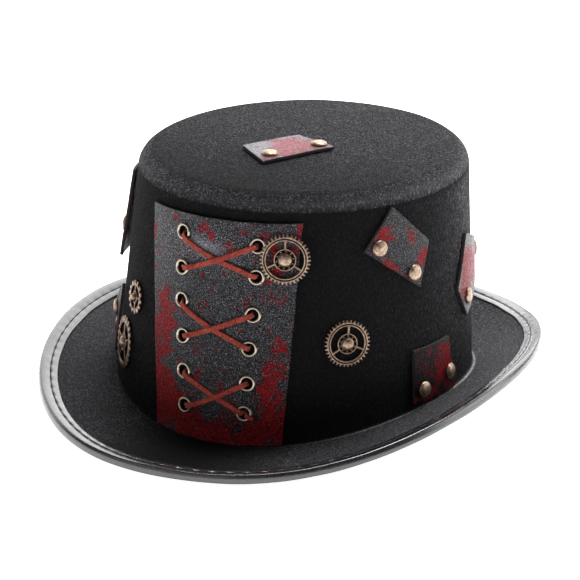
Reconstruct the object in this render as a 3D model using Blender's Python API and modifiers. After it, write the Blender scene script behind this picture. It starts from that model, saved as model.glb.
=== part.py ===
# Steampunk top hat: a moulded felt hat with a bound brim, a laced leather panel,
# riveted leather patches and clock gears. Metres, +Z up, front of the hat at -Y.
# Angles run round the crown in degrees from +X, so the front is at -90.

import math

import bmesh
import bpy
from mathutils import Matrix, Vector

# Felt body
CROWN_HALF_WIDTH = 0.0905      # across the head, at the crease
CROWN_HALF_LENGTH = 0.0996     # along the head, at the crease
CROWN_HEIGHT = 0.126           # to the rim of the tip
CROWN_TAPER_WIDTH = 0.0084     # how much the half width shrinks up the wall
CROWN_TAPER_LENGTH = 0.0076
CROWN_LEAN = 0.0068            # how far the tip sits behind the base
TIP_CORNER_RADIUS = 0.010
TIP_DOME = 0.002
FELT_THICKNESS = 0.0022
CREASE_FILLET = 0.0015
CREASE_RISE = 0.0127           # the crease is this much higher at the sides than at the front
CREASE_SETTLE = 0.00026        # trims the crease so that the felt just touches the ground

# Brim
BRIM_HALF_WIDTH = 0.1215
BRIM_HALF_LENGTH = 0.1603
BRIM_SQUARENESS = 2.02         # 2 is a true ellipse
BRIM_FRONT_HEIGHT = 0.0095
BRIM_SIDE_HEIGHT = 0.0264
BRIM_FRONT_SLOPE = 5.7
BRIM_SIDE_SLOPE = 23.4
BRIM_CURL_POWER = 1.36         # above 1 keeps the curl to the sides

# Binding round the brim
BINDING_WIDTH = 0.0095
BINDING_THICKNESS = 0.0008
BINDING_ROUNDING = 0.0009

# Leather, laces and metal
GAP = 0.00025                  # between pieces that touch on the real hat
PANEL_THICKNESS = 0.0013
PATCH_THICKNESS = 0.0017
EYELET_RADIUS = 0.0041
EYELET_BORE_RADIUS = 0.0026
EYELET_WALL = 0.00045
EYELET_HEIGHT = 0.0009
LACE_WIDTH = 0.0030
LACE_THICKNESS = 0.0012
LACE_BEND_RADIUS = 0.0016      # centre line, where a lace turns into an eyelet
LACE_RAMP = 0.0035             # length over which a lace comes down off an eyelet
LACE_TAIL_LENGTH = 0.0012
RIVET_RADIUS = 0.0042
RIVET_HEIGHT = 0.0019
GEAR_THICKNESS = 0.0012
GEAR_RIVET_HEIGHT = 0.0018
GEAR_RIVET_SHANK_RADIUS = 0.0011
GEAR_OVER_EYELET = 0.0023      # how far the panel's gear reaches over its eyelet
GEAR_BEARING = -23.7           # direction from that eyelet to the gear, degrees above level

# Mesh fineness
AROUND = 60
EYELET_SIDES = 9
RIVET_SIDES = 10
CORNER_STEPS = 3
BRIM_STEPS = 3
FACET_ANGLE = 6.5              # widest turn round the crown that one flat facet of leather covers
PANEL_ROWS = 3
TIP_PATCH_CELLS = 4

# Panel sides and eyelets: angle in degrees, height as a share of the crown's height.
# The panel's foot follows the crease.
PANEL_SIDES = {
    "left": {"foot_angle": -110.9, "head_angle": -122.2, "head": 0.881},
    "right": {"foot_angle": -68.4, "head_angle": -64.6, "head": 0.896},
}
PANEL_FOOT_RISE = 0.6          # height of the foot over the crease, as a share of its fillet
EYELETS_LEFT = [
    (-105.9, 0.814),
    (-105.3, 0.676),
    (-104.4, 0.551),
    (-102.9, 0.412),
    (-101.6, 0.278),
    (-100.2, 0.145),
]
EYELETS_RIGHT = [
    (-78.7, 0.806),
    (-78.6, 0.686),
    (-79.1, 0.539),
    (-79.7, 0.406),
    (-79.8, 0.271),
    (-80.3, 0.152),
]

# Patches on the wall. Corners run anticlockwise seen from outside: angle, height share,
# and how far the corner curls off the felt as a share of the patch's thickness.
# Rivets are shares along the first side and away from it.
WALL_PATCHES = {
    "patch_front_upper": {
        "corners": [(-44.3, 0.771, 0.0), (-23.4, 0.589, 0.0), (-19.3, 0.763, 0.0), (-34.5, 0.930, 0.0)],
        "rivets": [(0.152, 0.215), (0.832, 0.201)],
    },
    "patch_front_lower": {
        "corners": [(-25.5, 0.125, 0.0), (-5.2, 0.126, 0.0), (-9.2, 0.346, 0.0), (-26.0, 0.341, 0.0)],
        "rivets": [(0.210, 0.230), (0.880, 0.340)],
    },
    "patch_right_side": {
        "corners": [(-2.8, 0.509, 0.0), (4.8, 0.371, 0.0), (39.0, 0.540, 0.0), (5.3, 0.705, 0.0)],
        "rivets": [(0.627, 0.148), (0.865, 0.871)],
    },
    "patch_left_upper": {
        "corners": [(-174.0, 0.525, 0.0), (-153.5, 0.540, 1.4), (-153.0, 0.897, 0.0), (-172.0, 0.873, 0.0)],
        "rivets": [(0.720, 0.330), (0.220, 0.300)],
    },
    "patch_left_lower": {
        "corners": [(-168.0, 0.150, 0.0), (-150.0, 0.157, 0.0), (-147.5, 0.452, 0.0), (-160.0, 0.310, 1.6)],
        "rivets": [(0.161, 0.297), (0.481, 0.719)],
    },
}
# Patch on the tip: corners as shares of the tip's half width and half length
TIP_PATCH = {
    "corners": [(-0.264, -0.309, 0.0), (-0.017, -0.525, 0.0), (0.250, -0.112, 0.0), (-0.041, 0.0, 0.0)],
    "rivets": [(0.735, 0.180), (0.750, 0.900)],
}

# Gears: radii of the parts of the wheel are shares of its radius, spokes in degrees
GEARS = {
    "gear_panel": {
        "radius": 0.0123, "teeth": 38, "root": 0.90, "chunky": False,
        "rim": 0.74, "hub": 0.44, "spokes": (90.0, 205.0, 328.0), "spoke_width": 0.15,
        "rivet": 0.26, "turn": 0.0, "angle": None, "height": None,
    },
    "gear_front": {
        "radius": 0.0117, "teeth": 36, "root": 0.90, "chunky": False,
        "rim": 0.74, "hub": 0.44, "spokes": (84.0, 210.0, 336.0), "spoke_width": 0.15,
        "rivet": 0.26, "turn": 0.0, "angle": -49.2, "height": 0.422,
    },
    "gear_left_small": {
        "radius": 0.0085, "teeth": 14, "root": 0.82, "chunky": True,
        "rim": 0.70, "hub": 0.36, "spokes": (10.0, 100.0, 190.0, 280.0), "spoke_width": 0.17,
        "rivet": 0.24, "turn": 0.0, "angle": -130.9, "height": 0.466,
    },
    "gear_left_large": {
        "radius": 0.0134, "teeth": 23, "root": 0.86, "chunky": True,
        "rim": 0.74, "hub": 0.34, "spokes": (20.0, 92.0, 164.0, 236.0, 308.0), "spoke_width": 0.12,
        "rivet": 0.22, "turn": 4.0, "angle": -137.9, "height": 0.252,
    },
}

# Colour, roughness and metallic of each finish
FINISHES = {
    "black_felt": ((0.016, 0.016, 0.018, 1.0), 0.95, 0.0),
    "black_binding": ((0.012, 0.012, 0.014, 1.0), 0.28, 0.0),
    "distressed_leather": ((0.10, 0.045, 0.05, 1.0), 0.5, 0.0),
    "rust_suede": ((0.28, 0.065, 0.035, 1.0), 0.85, 0.0),
    "pale_brass": ((0.62, 0.55, 0.42, 1.0), 0.3, 1.0),
    "antique_bronze": ((0.42, 0.32, 0.21, 1.0), 0.35, 1.0),
}


def make_collection(name):
    collection = bpy.data.collections.new(name)
    bpy.context.scene.collection.children.link(collection)
    return collection


def make_material(name):
    colour, roughness, metallic = FINISHES[name]
    material = bpy.data.materials.new(name)
    material.use_nodes = True
    shader = material.node_tree.nodes["Principled BSDF"]
    shader.inputs["Base Color"].default_value = colour
    shader.inputs["Roughness"].default_value = roughness
    shader.inputs["Metallic"].default_value = metallic
    material.diffuse_color = colour
    return material


def add_object(name, mesh, collection, material=None):
    obj = bpy.data.objects.new(name, mesh)
    collection.objects.link(obj)
    if material:
        mesh.materials.append(material)
    mesh.shade_smooth()
    mesh.set_sharp_from_angle(angle=math.radians(40))
    return obj


def thicken(obj, thickness, offset):
    """Turn an open surface into a wall: offset 1 grows it outwards, -1 inwards, 0 both ways."""
    wall = obj.modifiers.new("Wall", "SOLIDIFY")
    wall.thickness = thickness
    wall.offset = offset
    wall.use_even_offset = True
    wall.use_quality_normals = True


def grid_faces(rows, columns, wrap=False):
    """Quads over a grid whose rows run upwards and whose columns run anticlockwise."""
    faces = []
    for row in range(rows - 1):
        for column in range(columns if wrap else columns - 1):
            beside = (column + 1) % columns
            start = row * columns
            above = start + columns
            faces.append((start + column, start + beside, above + beside, above + column))
    return faces


# The crown's surface

def wall_top():
    return CROWN_HEIGHT - TIP_CORNER_RADIUS


def crown_axes(height):
    """Half width, half length and backward shift of the wall at a height."""
    share = height / wall_top()
    return (
        CROWN_HALF_WIDTH - CROWN_TAPER_WIDTH * share,
        CROWN_HALF_LENGTH - CROWN_TAPER_LENGTH * share,
        CROWN_LEAN * share,
    )


def wall_point(angle, height, off=0.0):
    """A point on the wall, moved out along the wall's normal."""
    half_width, half_length, shift = crown_axes(height)
    turn = math.radians(angle)
    point = Vector((half_width * math.cos(turn), half_length * math.sin(turn) + shift, height))
    return point + off * wall_normal(angle, height)


def wall_normal(angle, height):
    half_width, half_length, _ = crown_axes(height)
    turn = math.radians(angle)
    around = Vector((-half_width * math.sin(turn), half_length * math.cos(turn), 0.0))
    upward = Vector((
        -CROWN_TAPER_WIDTH * math.cos(turn),
        -CROWN_TAPER_LENGTH * math.sin(turn) + CROWN_LEAN,
        wall_top(),
    ))
    return around.cross(upward).normalized()


def wall_frame(angle, height):
    """Axes on the wall: level along it, up it, and straight out."""
    normal = wall_normal(angle, height)
    level = Vector((0.0, 0.0, 1.0)).cross(normal).normalized()
    return level, normal.cross(level), normal


def tip_axes():
    half_width, half_length, shift = crown_axes(wall_top())
    return half_width - TIP_CORNER_RADIUS, half_length - TIP_CORNER_RADIUS, shift


def tip_point(across, along, off=0.0):
    """A point on the domed tip, from shares of the whole tip's half width and half length."""
    half_width, half_length, shift = crown_axes(wall_top())
    flat_width, flat_length, _ = tip_axes()
    x = across * half_width
    y = along * half_length
    share = (x / flat_width) ** 2 + (y / flat_length) ** 2
    normal = Vector((
        2.0 * TIP_DOME * x / flat_width ** 2,
        2.0 * TIP_DOME * y / flat_length ** 2,
        1.0,
    )).normalized()
    point = Vector((x, y + shift, CROWN_HEIGHT + TIP_DOME * (1.0 - share)))
    return point + off * normal


def crease_height(angle):
    """Height of the crease between wall and brim: low at front and back, high at the sides."""
    sideways = math.cos(math.radians(angle)) ** 2
    return FELT_THICKNESS - CREASE_SETTLE + CREASE_RISE * sideways


# The brim's surface

def signed_power(value, power):
    return math.copysign(abs(value) ** power, value)


def brim_section(angle):
    """Outline point of the bound edge, with the outward and the upward direction there."""
    turn = math.radians(angle)
    cosine = math.cos(turn)
    sine = math.sin(turn)
    curl = (cosine * cosine) ** BRIM_CURL_POWER
    power = 2.0 / BRIM_SQUARENESS
    edge = Vector((
        BRIM_HALF_WIDTH * signed_power(cosine, power),
        BRIM_HALF_LENGTH * signed_power(sine, power),
        BRIM_FRONT_HEIGHT * sine * sine + BRIM_SIDE_HEIGHT * curl,
    ))
    plan = Vector((
        signed_power(cosine, 2.0 - power) / BRIM_HALF_WIDTH,
        signed_power(sine, 2.0 - power) / BRIM_HALF_LENGTH,
        0.0,
    )).normalized()
    slope = math.radians(BRIM_FRONT_SLOPE + (BRIM_SIDE_SLOPE - BRIM_FRONT_SLOPE) * curl)
    up = Vector((0.0, 0.0, 1.0))
    outward = plan * math.cos(slope) + up * math.sin(slope)
    upward = up * math.cos(slope) - plan * math.sin(slope)
    return edge, outward, upward


def felt_edge_point(angle, inset):
    """A point on the brim's upper face near its edge, inset from the bound outline."""
    edge, outward, upward = brim_section(angle)
    return edge - outward * inset + upward * FELT_THICKNESS * 0.5


def bezier(points, share):
    """Quadratic curve through a start, towards a control point, to an end."""
    start, control, end = points
    rest = 1.0 - share
    return start * rest * rest + control * 2.0 * rest * share + end * share * share


def felt_column(angle):
    """Points down one side of the hat, from the tip's flat centre to the brim's edge."""
    turn = math.radians(angle)
    flat_width, flat_length, shift = tip_axes()
    column = []
    for share in (0.30, 0.65, 1.0):
        column.append(Vector((
            share * flat_width * math.cos(turn),
            share * flat_length * math.sin(turn) + shift,
            CROWN_HEIGHT + TIP_DOME * (1.0 - share * share),
        )))
    for step in range(1, CORNER_STEPS + 1):
        swing = math.radians(90.0 * (1.0 - step / CORNER_STEPS))
        reach = TIP_CORNER_RADIUS * math.cos(swing)
        column.append(Vector((
            (flat_width + reach) * math.cos(turn),
            (flat_length + reach) * math.sin(turn) + shift,
            wall_top() + TIP_CORNER_RADIUS * math.sin(swing),
        )))
    crease = wall_point(angle, crease_height(angle))
    start = wall_point(angle, crease_height(angle) + CREASE_FILLET)
    column.append((column[-1] + start) * 0.5)
    under_binding = felt_edge_point(angle, BINDING_WIDTH * 1.15)
    _, outward, _ = brim_section(angle)
    control = under_binding - outward * (under_binding - crease).length * 0.5
    leave = crease + (control - crease).normalized() * CREASE_FILLET
    for share in (0.0, 0.5, 1.0):
        column.append(bezier((start, crease, leave), share))
    for step in range(1, BRIM_STEPS + 1):
        column.append(bezier((leave, control, under_binding), step / BRIM_STEPS))
    column.append(felt_edge_point(angle, BINDING_THICKNESS + GAP))
    return column


def build_felt_body(collection, material):
    """One moulded shell: tip, wall and brim."""
    columns = [felt_column(360.0 * step / AROUND) for step in range(AROUND)]
    rings = list(zip(*columns))
    points = [point for ring in reversed(rings) for point in ring]
    faces = grid_faces(len(rings), AROUND, wrap=True)
    first_of_tip = (len(rings) - 1) * AROUND
    faces.append(tuple(range(first_of_tip, first_of_tip + AROUND)))
    mesh = bpy.data.meshes.new("felt_body")
    mesh.from_pydata(points, [], faces)
    obj = add_object("felt_body", mesh, collection, material)
    thicken(obj, FELT_THICKNESS, -1.0)
    return obj


def build_brim_binding(collection, material):
    """A strip folded over the brim's edge, with a leg above and a leg below the felt."""
    inner = FELT_THICKNESS * 0.5 + GAP
    outer = inner + BINDING_THICKNESS
    profile = [
        (-BINDING_WIDTH, inner),
        (-BINDING_THICKNESS, inner),
        (-BINDING_THICKNESS, -inner),
        (-BINDING_WIDTH, -inner),
        (-BINDING_WIDTH, -outer),
        (-BINDING_ROUNDING, -outer),
        (0.0, 0.0),
        (-BINDING_ROUNDING, outer),
        (-BINDING_WIDTH, outer),
    ]
    points = []
    for step in range(AROUND):
        edge, outward, upward = brim_section(360.0 * step / AROUND)
        for reach, rise in profile:
            points.append(edge + outward * reach + upward * rise)
    sides = len(profile)
    faces = []
    for step in range(AROUND):
        here = step * sides
        there = (step + 1) % AROUND * sides
        for side in range(sides):
            beside = (side + 1) % sides
            faces.append((here + side, there + side, there + beside, here + beside))
    mesh = bpy.data.meshes.new("brim_binding")
    mesh.from_pydata(points, [], faces)
    return add_object("brim_binding", mesh, collection, material)


# Leather on the felt

def corner_blend(corners, across, along):
    """Blend four corners, given anticlockwise, each a tuple of numbers."""
    weights = ((1 - across) * (1 - along), across * (1 - along), across * along, (1 - across) * along)
    return [sum(w * corner[i] for w, corner in zip(weights, corners)) for i in range(len(corners[0]))]


def build_leather(name, surface, cells, thickness, collection, material):
    """A leather piece that follows a surface: its inner face lies a gap off the felt."""
    across_cells, along_cells = cells
    points = []
    for row in range(along_cells + 1):
        for column in range(across_cells + 1):
            points.append(surface(column / across_cells, row / along_cells, GAP))
    mesh = bpy.data.meshes.new(name)
    mesh.from_pydata(points, [], grid_faces(along_cells + 1, across_cells + 1))
    obj = add_object(name, mesh, collection, material)
    thicken(obj, thickness, 1.0)
    return obj


def wall_surface(corners):
    """The surface of a wall patch, as a function of two shares and a height over the felt."""
    def surface(across, along, off):
        angle, height, curl = corner_blend(corners, across, along)
        return wall_point(angle, height * CROWN_HEIGHT, off + curl * PATCH_THICKNESS)
    return surface


def panel_surface(across, along, off):
    """The surface of the front panel: its foot keeps to the crease and its head is level."""
    left = PANEL_SIDES["left"]
    right = PANEL_SIDES["right"]
    foot_angle = left["foot_angle"] + (right["foot_angle"] - left["foot_angle"]) * across
    head_angle = left["head_angle"] + (right["head_angle"] - left["head_angle"]) * across
    angle = foot_angle + (head_angle - foot_angle) * along
    head = (left["head"] + (right["head"] - left["head"]) * across) * CROWN_HEIGHT
    foot = crease_height(angle) + CREASE_FILLET * PANEL_FOOT_RISE
    return wall_point(angle, foot + (head - foot) * along, off)


def tip_surface(corners):
    def surface(across, along, off):
        x, y, _ = corner_blend(corners, across, along)
        return tip_point(x, y, off)
    return surface


def surface_frame(surface, across, along, off):
    """Axes of a surface at a point: level with its first side, across it, and straight out."""
    step = 0.05
    here = surface(across, along, off)
    level = (surface(across + step, along, off) - here).normalized()
    other = surface(across, along + step, off) - here
    normal = level.cross(other).normalized()
    return here, level, normal.cross(level), normal


def placed(level, upward, normal, at):
    """World matrix of a piece made flat at the origin with its outside towards +Z."""
    matrix = Matrix((level, upward, normal)).transposed().to_4x4()
    matrix.translation = at
    return matrix


def eyelet_places():
    """Name, angle and height of each eyelet, top row first."""
    places = []
    for side, rows in (("left", EYELETS_LEFT), ("right", EYELETS_RIGHT)):
        for number, (angle, share) in enumerate(rows, start=1):
            places.append((f"eyelet_{side}_{number}", angle, share * CROWN_HEIGHT))
    return places


def panel_top():
    """Height of the panel's outer face over the felt."""
    return GAP + PANEL_THICKNESS


def eyelet_top():
    return panel_top() + GAP + EYELET_HEIGHT


def build_laced_panel(collection, cutters, material):
    """The front panel, with a hole for the barrel of each eyelet."""
    spread = PANEL_SIDES["right"]["head_angle"] - PANEL_SIDES["left"]["head_angle"]
    cells = (math.ceil(spread / FACET_ANGLE), PANEL_ROWS)
    panel = build_leather("laced_panel", panel_surface, cells, PANEL_THICKNESS, collection, material)
    hole_radius = EYELET_BORE_RADIUS + EYELET_WALL + GAP
    merged = bpy.data.meshes.new("eyelet_holes")
    points = []
    faces = []
    for _, angle, height in eyelet_places():
        level, upward, normal = wall_frame(angle, height)
        middle = wall_point(angle, height, GAP + PANEL_THICKNESS * 0.5)
        first = len(points)
        for end in (-1.0, 1.0):
            for step in range(EYELET_SIDES):
                turn = math.tau * step / EYELET_SIDES
                spoke = level * math.cos(turn) + upward * math.sin(turn)
                points.append(middle + spoke * hole_radius + normal * end * PANEL_THICKNESS * 2.0)
        faces.append(tuple(first + step for step in reversed(range(EYELET_SIDES))))
        faces.append(tuple(first + EYELET_SIDES + step for step in range(EYELET_SIDES)))
        for step in range(EYELET_SIDES):
            beside = (step + 1) % EYELET_SIDES
            faces.append((
                first + step,
                first + beside,
                first + EYELET_SIDES + beside,
                first + EYELET_SIDES + step,
            ))
    merged.from_pydata(points, [], faces)
    holes = add_object("eyelet_holes", merged, cutters)
    holes.hide_render = True
    holes.display_type = "WIRE"
    cut = panel.modifiers.new("Eyelet holes", "BOOLEAN")
    cut.operation = "DIFFERENCE"
    cut.object = holes
    return panel


# Turned metal

def build_turned(name, profile, sides, matrix, collection, material):
    """A turned piece: its profile runs down the outer side, from the top to the bottom."""
    closed = profile[0] == profile[-1]
    points = profile[:-1] if closed else profile
    edges = [(i, i + 1) for i in range(len(points) - 1)]
    if closed:
        edges.append((len(points) - 1, 0))
    mesh = bpy.data.meshes.new(name)
    mesh.from_pydata([(radius, 0.0, height) for radius, height in points], edges, [])
    obj = add_object(name, mesh, collection, material)
    turn = obj.modifiers.new("Turn", "SCREW")
    turn.angle = math.tau
    turn.steps = sides
    turn.render_steps = sides
    turn.use_merge_vertices = True
    turn.merge_threshold = 0.00001
    turn.use_smooth_shade = True
    obj.matrix_world = matrix
    return obj


def build_eyelets(collection, material):
    """Rolled flange on the panel, with a barrel down through it."""
    barrel = EYELET_BORE_RADIUS + EYELET_WALL
    crown_radius = (EYELET_BORE_RADIUS + EYELET_RADIUS) * 0.5
    seat = panel_top() + GAP
    profile = [
        (crown_radius, eyelet_top()),
        (EYELET_RADIUS, seat + EYELET_HEIGHT * 0.4),
        (EYELET_RADIUS - EYELET_WALL, seat),
        (barrel, seat),
        (barrel, GAP),
        (EYELET_BORE_RADIUS, GAP),
        (EYELET_BORE_RADIUS, seat + EYELET_HEIGHT * 0.5),
        (crown_radius, eyelet_top()),
    ]
    for name, angle, height in eyelet_places():
        matrix = placed(*wall_frame(angle, height), wall_point(angle, height))
        build_turned(name, profile, EYELET_SIDES, matrix, collection, material)


def build_rivet(name, matrix, collection, material):
    """A domed cap rivet with a thin lip."""
    profile = [
        (0.0, RIVET_HEIGHT),
        (RIVET_RADIUS * 0.52, RIVET_HEIGHT * 0.88),
        (RIVET_RADIUS * 0.88, RIVET_HEIGHT * 0.48),
        (RIVET_RADIUS, RIVET_HEIGHT * 0.12),
        (RIVET_RADIUS * 0.96, 0.0),
        (0.0, 0.0),
    ]
    return build_turned(name, profile, RIVET_SIDES, matrix, collection, material)


def build_patches(collection, leather, metal):
    for name, patch in WALL_PATCHES.items():
        angles = [corner[0] for corner in patch["corners"]]
        cells = math.ceil((max(angles) - min(angles)) / FACET_ANGLE)
        build_patch(name, patch, wall_surface(patch["corners"]), cells, collection, leather, metal)
    surface = tip_surface(TIP_PATCH["corners"])
    build_patch("patch_tip", TIP_PATCH, surface, TIP_PATCH_CELLS, collection, leather, metal)


def build_patch(name, patch, surface, cells, collection, leather, metal):
    build_leather(name, surface, (cells, cells), PATCH_THICKNESS, collection, leather)
    for number, (across, along) in enumerate(patch["rivets"], start=1):
        seat, level, upward, normal = surface_frame(surface, across, along, GAP + PATCH_THICKNESS)
        matrix = placed(level, upward, normal, seat + normal * GAP)
        build_rivet(f"{name}_rivet_{number}", matrix, collection, metal)


# Laces

def lace_low():
    """Height of a lace's middle where it lies on the panel."""
    return panel_top() + GAP + LACE_THICKNESS * 0.5


def lace_high():
    """Height of a lace's middle where it runs over an eyelet's flange."""
    return eyelet_top() + GAP + LACE_THICKNESS * 0.5


def lace_entry():
    """Stations from deep in an eyelet to the top of the bend: distance along, height."""
    inset = LACE_THICKNESS * 0.25
    bend = [(inset, GAP * 2.0)]
    for swing in (0.0, 30.0, 60.0, 90.0):
        turn = math.radians(swing)
        bend.append((
            inset + LACE_BEND_RADIUS * (1.0 - math.cos(turn)),
            lace_high() - LACE_BEND_RADIUS * (1.0 - math.sin(turn)),
        ))
    bend.append((EYELET_RADIUS + LACE_THICKNESS * 0.3, lace_high()))
    bend.append((EYELET_RADIUS + LACE_RAMP, lace_low()))
    return bend


def lace_stations(length, crossing, over):
    """Distances and heights along one lace between two eyelets."""
    entry = lace_entry()
    low = lace_low()
    first = entry[-1][0]
    middle = length * 0.5
    if over:
        lift = LACE_THICKNESS + GAP
        flat = LACE_WIDTH * 0.5 * (1.0 + math.cos(crossing)) / math.sin(crossing) + LACE_THICKNESS * 0.3
        ramp = flat + LACE_RAMP
        centre = [
            ((first + middle - ramp) * 0.5, low),
            (middle - ramp, low),
            (middle - flat, low + lift),
            (middle, low + lift),
            (middle + flat, low + lift),
            (middle + ramp, low),
            (length - (first + middle - ramp) * 0.5, low),
        ]
    else:
        spans = 4
        centre = [(first + (length - 2.0 * first) * i / spans, low) for i in range(1, spans)]
    leaving = [(length - distance, height) for distance, height in reversed(entry)]
    return entry + centre + leaving


def build_lace(name, start, end, stations, collection, material, width=LACE_WIDTH):
    """A flat thong along the wall from one eyelet towards another."""
    start_point = wall_point(*start)
    end_point = wall_point(*end)
    length = (end_point - start_point).length
    points = []
    for distance, height in stations:
        share = distance / length
        angle = start[0] + (end[0] - start[0]) * share
        level = start[1] + (end[1] - start[1]) * share
        normal = wall_normal(angle, level)
        sideways = normal.cross(end_point - start_point).normalized()
        middle = wall_point(angle, level, height)
        points.append(middle - sideways * width * 0.5)
        points.append(middle + sideways * width * 0.5)
    faces = [(2 * i, 2 * i + 2, 2 * i + 3, 2 * i + 1) for i in range(len(stations) - 1)]
    mesh = bpy.data.meshes.new(name)
    mesh.from_pydata(points, [], faces)
    obj = add_object(name, mesh, collection, material)
    thicken(obj, LACE_THICKNESS, 0.0)
    return obj


def build_laces(collection, material):
    """Three crosses, each with one lace under and one over, and a short tail at the bottom."""
    left = [(angle, share * CROWN_HEIGHT) for angle, share in EYELETS_LEFT]
    right = [(angle, share * CROWN_HEIGHT) for angle, share in EYELETS_RIGHT]
    for cross in range(3):
        upper = 2 * cross
        lower = upper + 1
        falling = (wall_point(*left[upper]), wall_point(*right[lower]))
        rising = (wall_point(*left[lower]), wall_point(*right[upper]))
        crossing = (falling[1] - falling[0]).angle(rising[1] - rising[0])
        for name, start, end, over in (
            (f"lace_under_{cross + 1}", left[upper], right[lower], False),
            (f"lace_over_{cross + 1}", left[lower], right[upper], True),
        ):
            length = (wall_point(*end) - wall_point(*start)).length
            stations = lace_stations(length, crossing, over)
            build_lace(name, start, end, stations, collection, material)
    build_lace_tail(left[-2], right[-1], collection, material)


def build_lace_tail(from_eyelet, last_eyelet, collection, material):
    """The free end comes out of the last eyelet and is cut off just past its flange."""
    step = 0.5
    ahead = (
        last_eyelet[0] + (last_eyelet[0] - from_eyelet[0]) * step,
        last_eyelet[1] + (last_eyelet[1] - from_eyelet[1]) * step,
    )
    bend = lace_entry()[:-2]
    inset = LACE_THICKNESS * 0.5 + GAP
    stations = [(distance + inset, height) for distance, height in bend]
    stations.append((EYELET_RADIUS + LACE_TAIL_LENGTH, lace_high()))
    build_lace("lace_tail", last_eyelet, ahead, stations, collection, material, LACE_WIDTH * 0.8)


# Gears

def ring_points(radius, start, end, steps):
    """Points on an arc from one angle to another, in degrees."""
    points = []
    for step in range(steps + 1):
        turn = math.radians(start + (end - start) * step / steps)
        points.append((radius * math.cos(turn), radius * math.sin(turn)))
    return points


def gear_outline(gear):
    radius = gear["radius"]
    root = radius * gear["root"]
    pitch = 360.0 / gear["teeth"]
    outline = []
    for tooth in range(gear["teeth"]):
        centre = tooth * pitch
        if gear["chunky"]:
            shape = ((root, -0.30), (radius, -0.22), (radius, 0.22), (root, 0.30))
        else:
            shape = ((root, -0.5), (radius, -0.24), (radius, 0.24))
        for reach, share in shape:
            turn = math.radians(centre + share * pitch)
            outline.append((reach * math.cos(turn), reach * math.sin(turn)))
    return outline


def gear_windows(gear):
    """The openings between rim, hub and spokes."""
    radius = gear["radius"]
    rim = radius * gear["rim"]
    hub = radius * gear["hub"]
    half_spoke = radius * gear["spoke_width"] * 0.5
    spokes = sorted(gear["spokes"])
    windows = []
    for spoke, following in zip(spokes, spokes[1:] + [spokes[0] + 360.0]):
        rim_margin = math.degrees(math.asin(half_spoke / rim))
        hub_margin = math.degrees(math.asin(half_spoke / hub))
        outer = ring_points(rim, spoke + rim_margin, following - rim_margin, 5)
        inner = ring_points(hub, following - hub_margin, spoke + hub_margin, 3)
        windows.append(outer + inner)
    return windows


def build_gear(name, gear, matrix, stand, collection, cutters, material):
    """A flat stamped wheel: a filled 2D outline with thickness, made a closed mesh."""
    curve = bpy.data.curves.new(name, "CURVE")
    curve.dimensions = "2D"
    curve.fill_mode = "BOTH"
    curve.extrude = GEAR_THICKNESS * 0.5
    shank_hole = ring_points(GEAR_RIVET_SHANK_RADIUS + GAP, 0.0, 360.0 * 7 / 8, 7)
    for outline in [gear_outline(gear), shank_hole] + gear_windows(gear):
        spline = curve.splines.new("POLY")
        spline.points.add(len(outline) - 1)
        for point, (x, y) in zip(spline.points, outline):
            point.co = (x, y, 0.0, 1.0)
        spline.use_cyclic_u = True
    flat = bpy.data.objects.new(name + "_outline", curve)
    cutters.objects.link(flat)
    mesh = bpy.data.meshes.new_from_object(flat.evaluated_get(bpy.context.evaluated_depsgraph_get()))
    bpy.data.objects.remove(flat)
    weld(mesh)
    mesh.name = name
    obj = add_object(name, mesh, collection, material)
    raise_by = Matrix.Translation((0.0, 0.0, stand + GEAR_THICKNESS * 0.5))
    obj.matrix_world = matrix @ raise_by @ Matrix.Rotation(math.radians(gear["turn"]), 4, "Z")
    return obj


def weld(mesh):
    work = bmesh.new()
    work.from_mesh(mesh)
    bmesh.ops.remove_doubles(work, verts=work.verts, dist=0.00001)
    bmesh.ops.recalc_face_normals(work, faces=work.faces)
    work.to_mesh(mesh)
    work.free()


def build_gear_rivet(name, gear, matrix, stand, foot, collection, material):
    """A domed head on the gear, with its shank down through the gear to what carries it."""
    head = stand + GEAR_THICKNESS + GAP
    radius = gear["radius"] * gear["rivet"]
    profile = [
        (0.0, head + GEAR_RIVET_HEIGHT),
        (radius * 0.60, head + GEAR_RIVET_HEIGHT * 0.80),
        (radius * 0.93, head + GEAR_RIVET_HEIGHT * 0.35),
        (radius, head),
        (GEAR_RIVET_SHANK_RADIUS, head),
        (GEAR_RIVET_SHANK_RADIUS, foot),
        (0.0, foot),
    ]
    return build_turned(name, profile, RIVET_SIDES, matrix, collection, material)


def panel_gear_place(gear):
    """The panel's gear lies beside the top right eyelet and reaches a little over it."""
    angle = EYELETS_RIGHT[0][0]
    height = EYELETS_RIGHT[0][1] * CROWN_HEIGHT
    level, upward, _ = wall_frame(angle, height)
    distance = gear["radius"] + EYELET_RADIUS - GEAR_OVER_EYELET
    bearing = math.radians(GEAR_BEARING)
    across = (wall_point(angle + 1.0, height) - wall_point(angle, height)).dot(level)
    return angle + distance * math.cos(bearing) / across, height + distance * math.sin(bearing)


def build_gears(collection, cutters, material):
    for name, gear in GEARS.items():
        if gear["angle"] is None:
            angle, height = panel_gear_place(gear)
            foot = panel_top() + GAP
            stand = eyelet_top() + GAP
        else:
            angle = gear["angle"]
            height = gear["height"] * CROWN_HEIGHT
            foot = GAP
            stand = GAP
        matrix = placed(*wall_frame(angle, height), wall_point(angle, height))
        build_gear(name, gear, matrix, stand, collection, cutters, material)
        build_gear_rivet(name + "_rivet", gear, matrix, stand, foot, collection, material)


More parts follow.
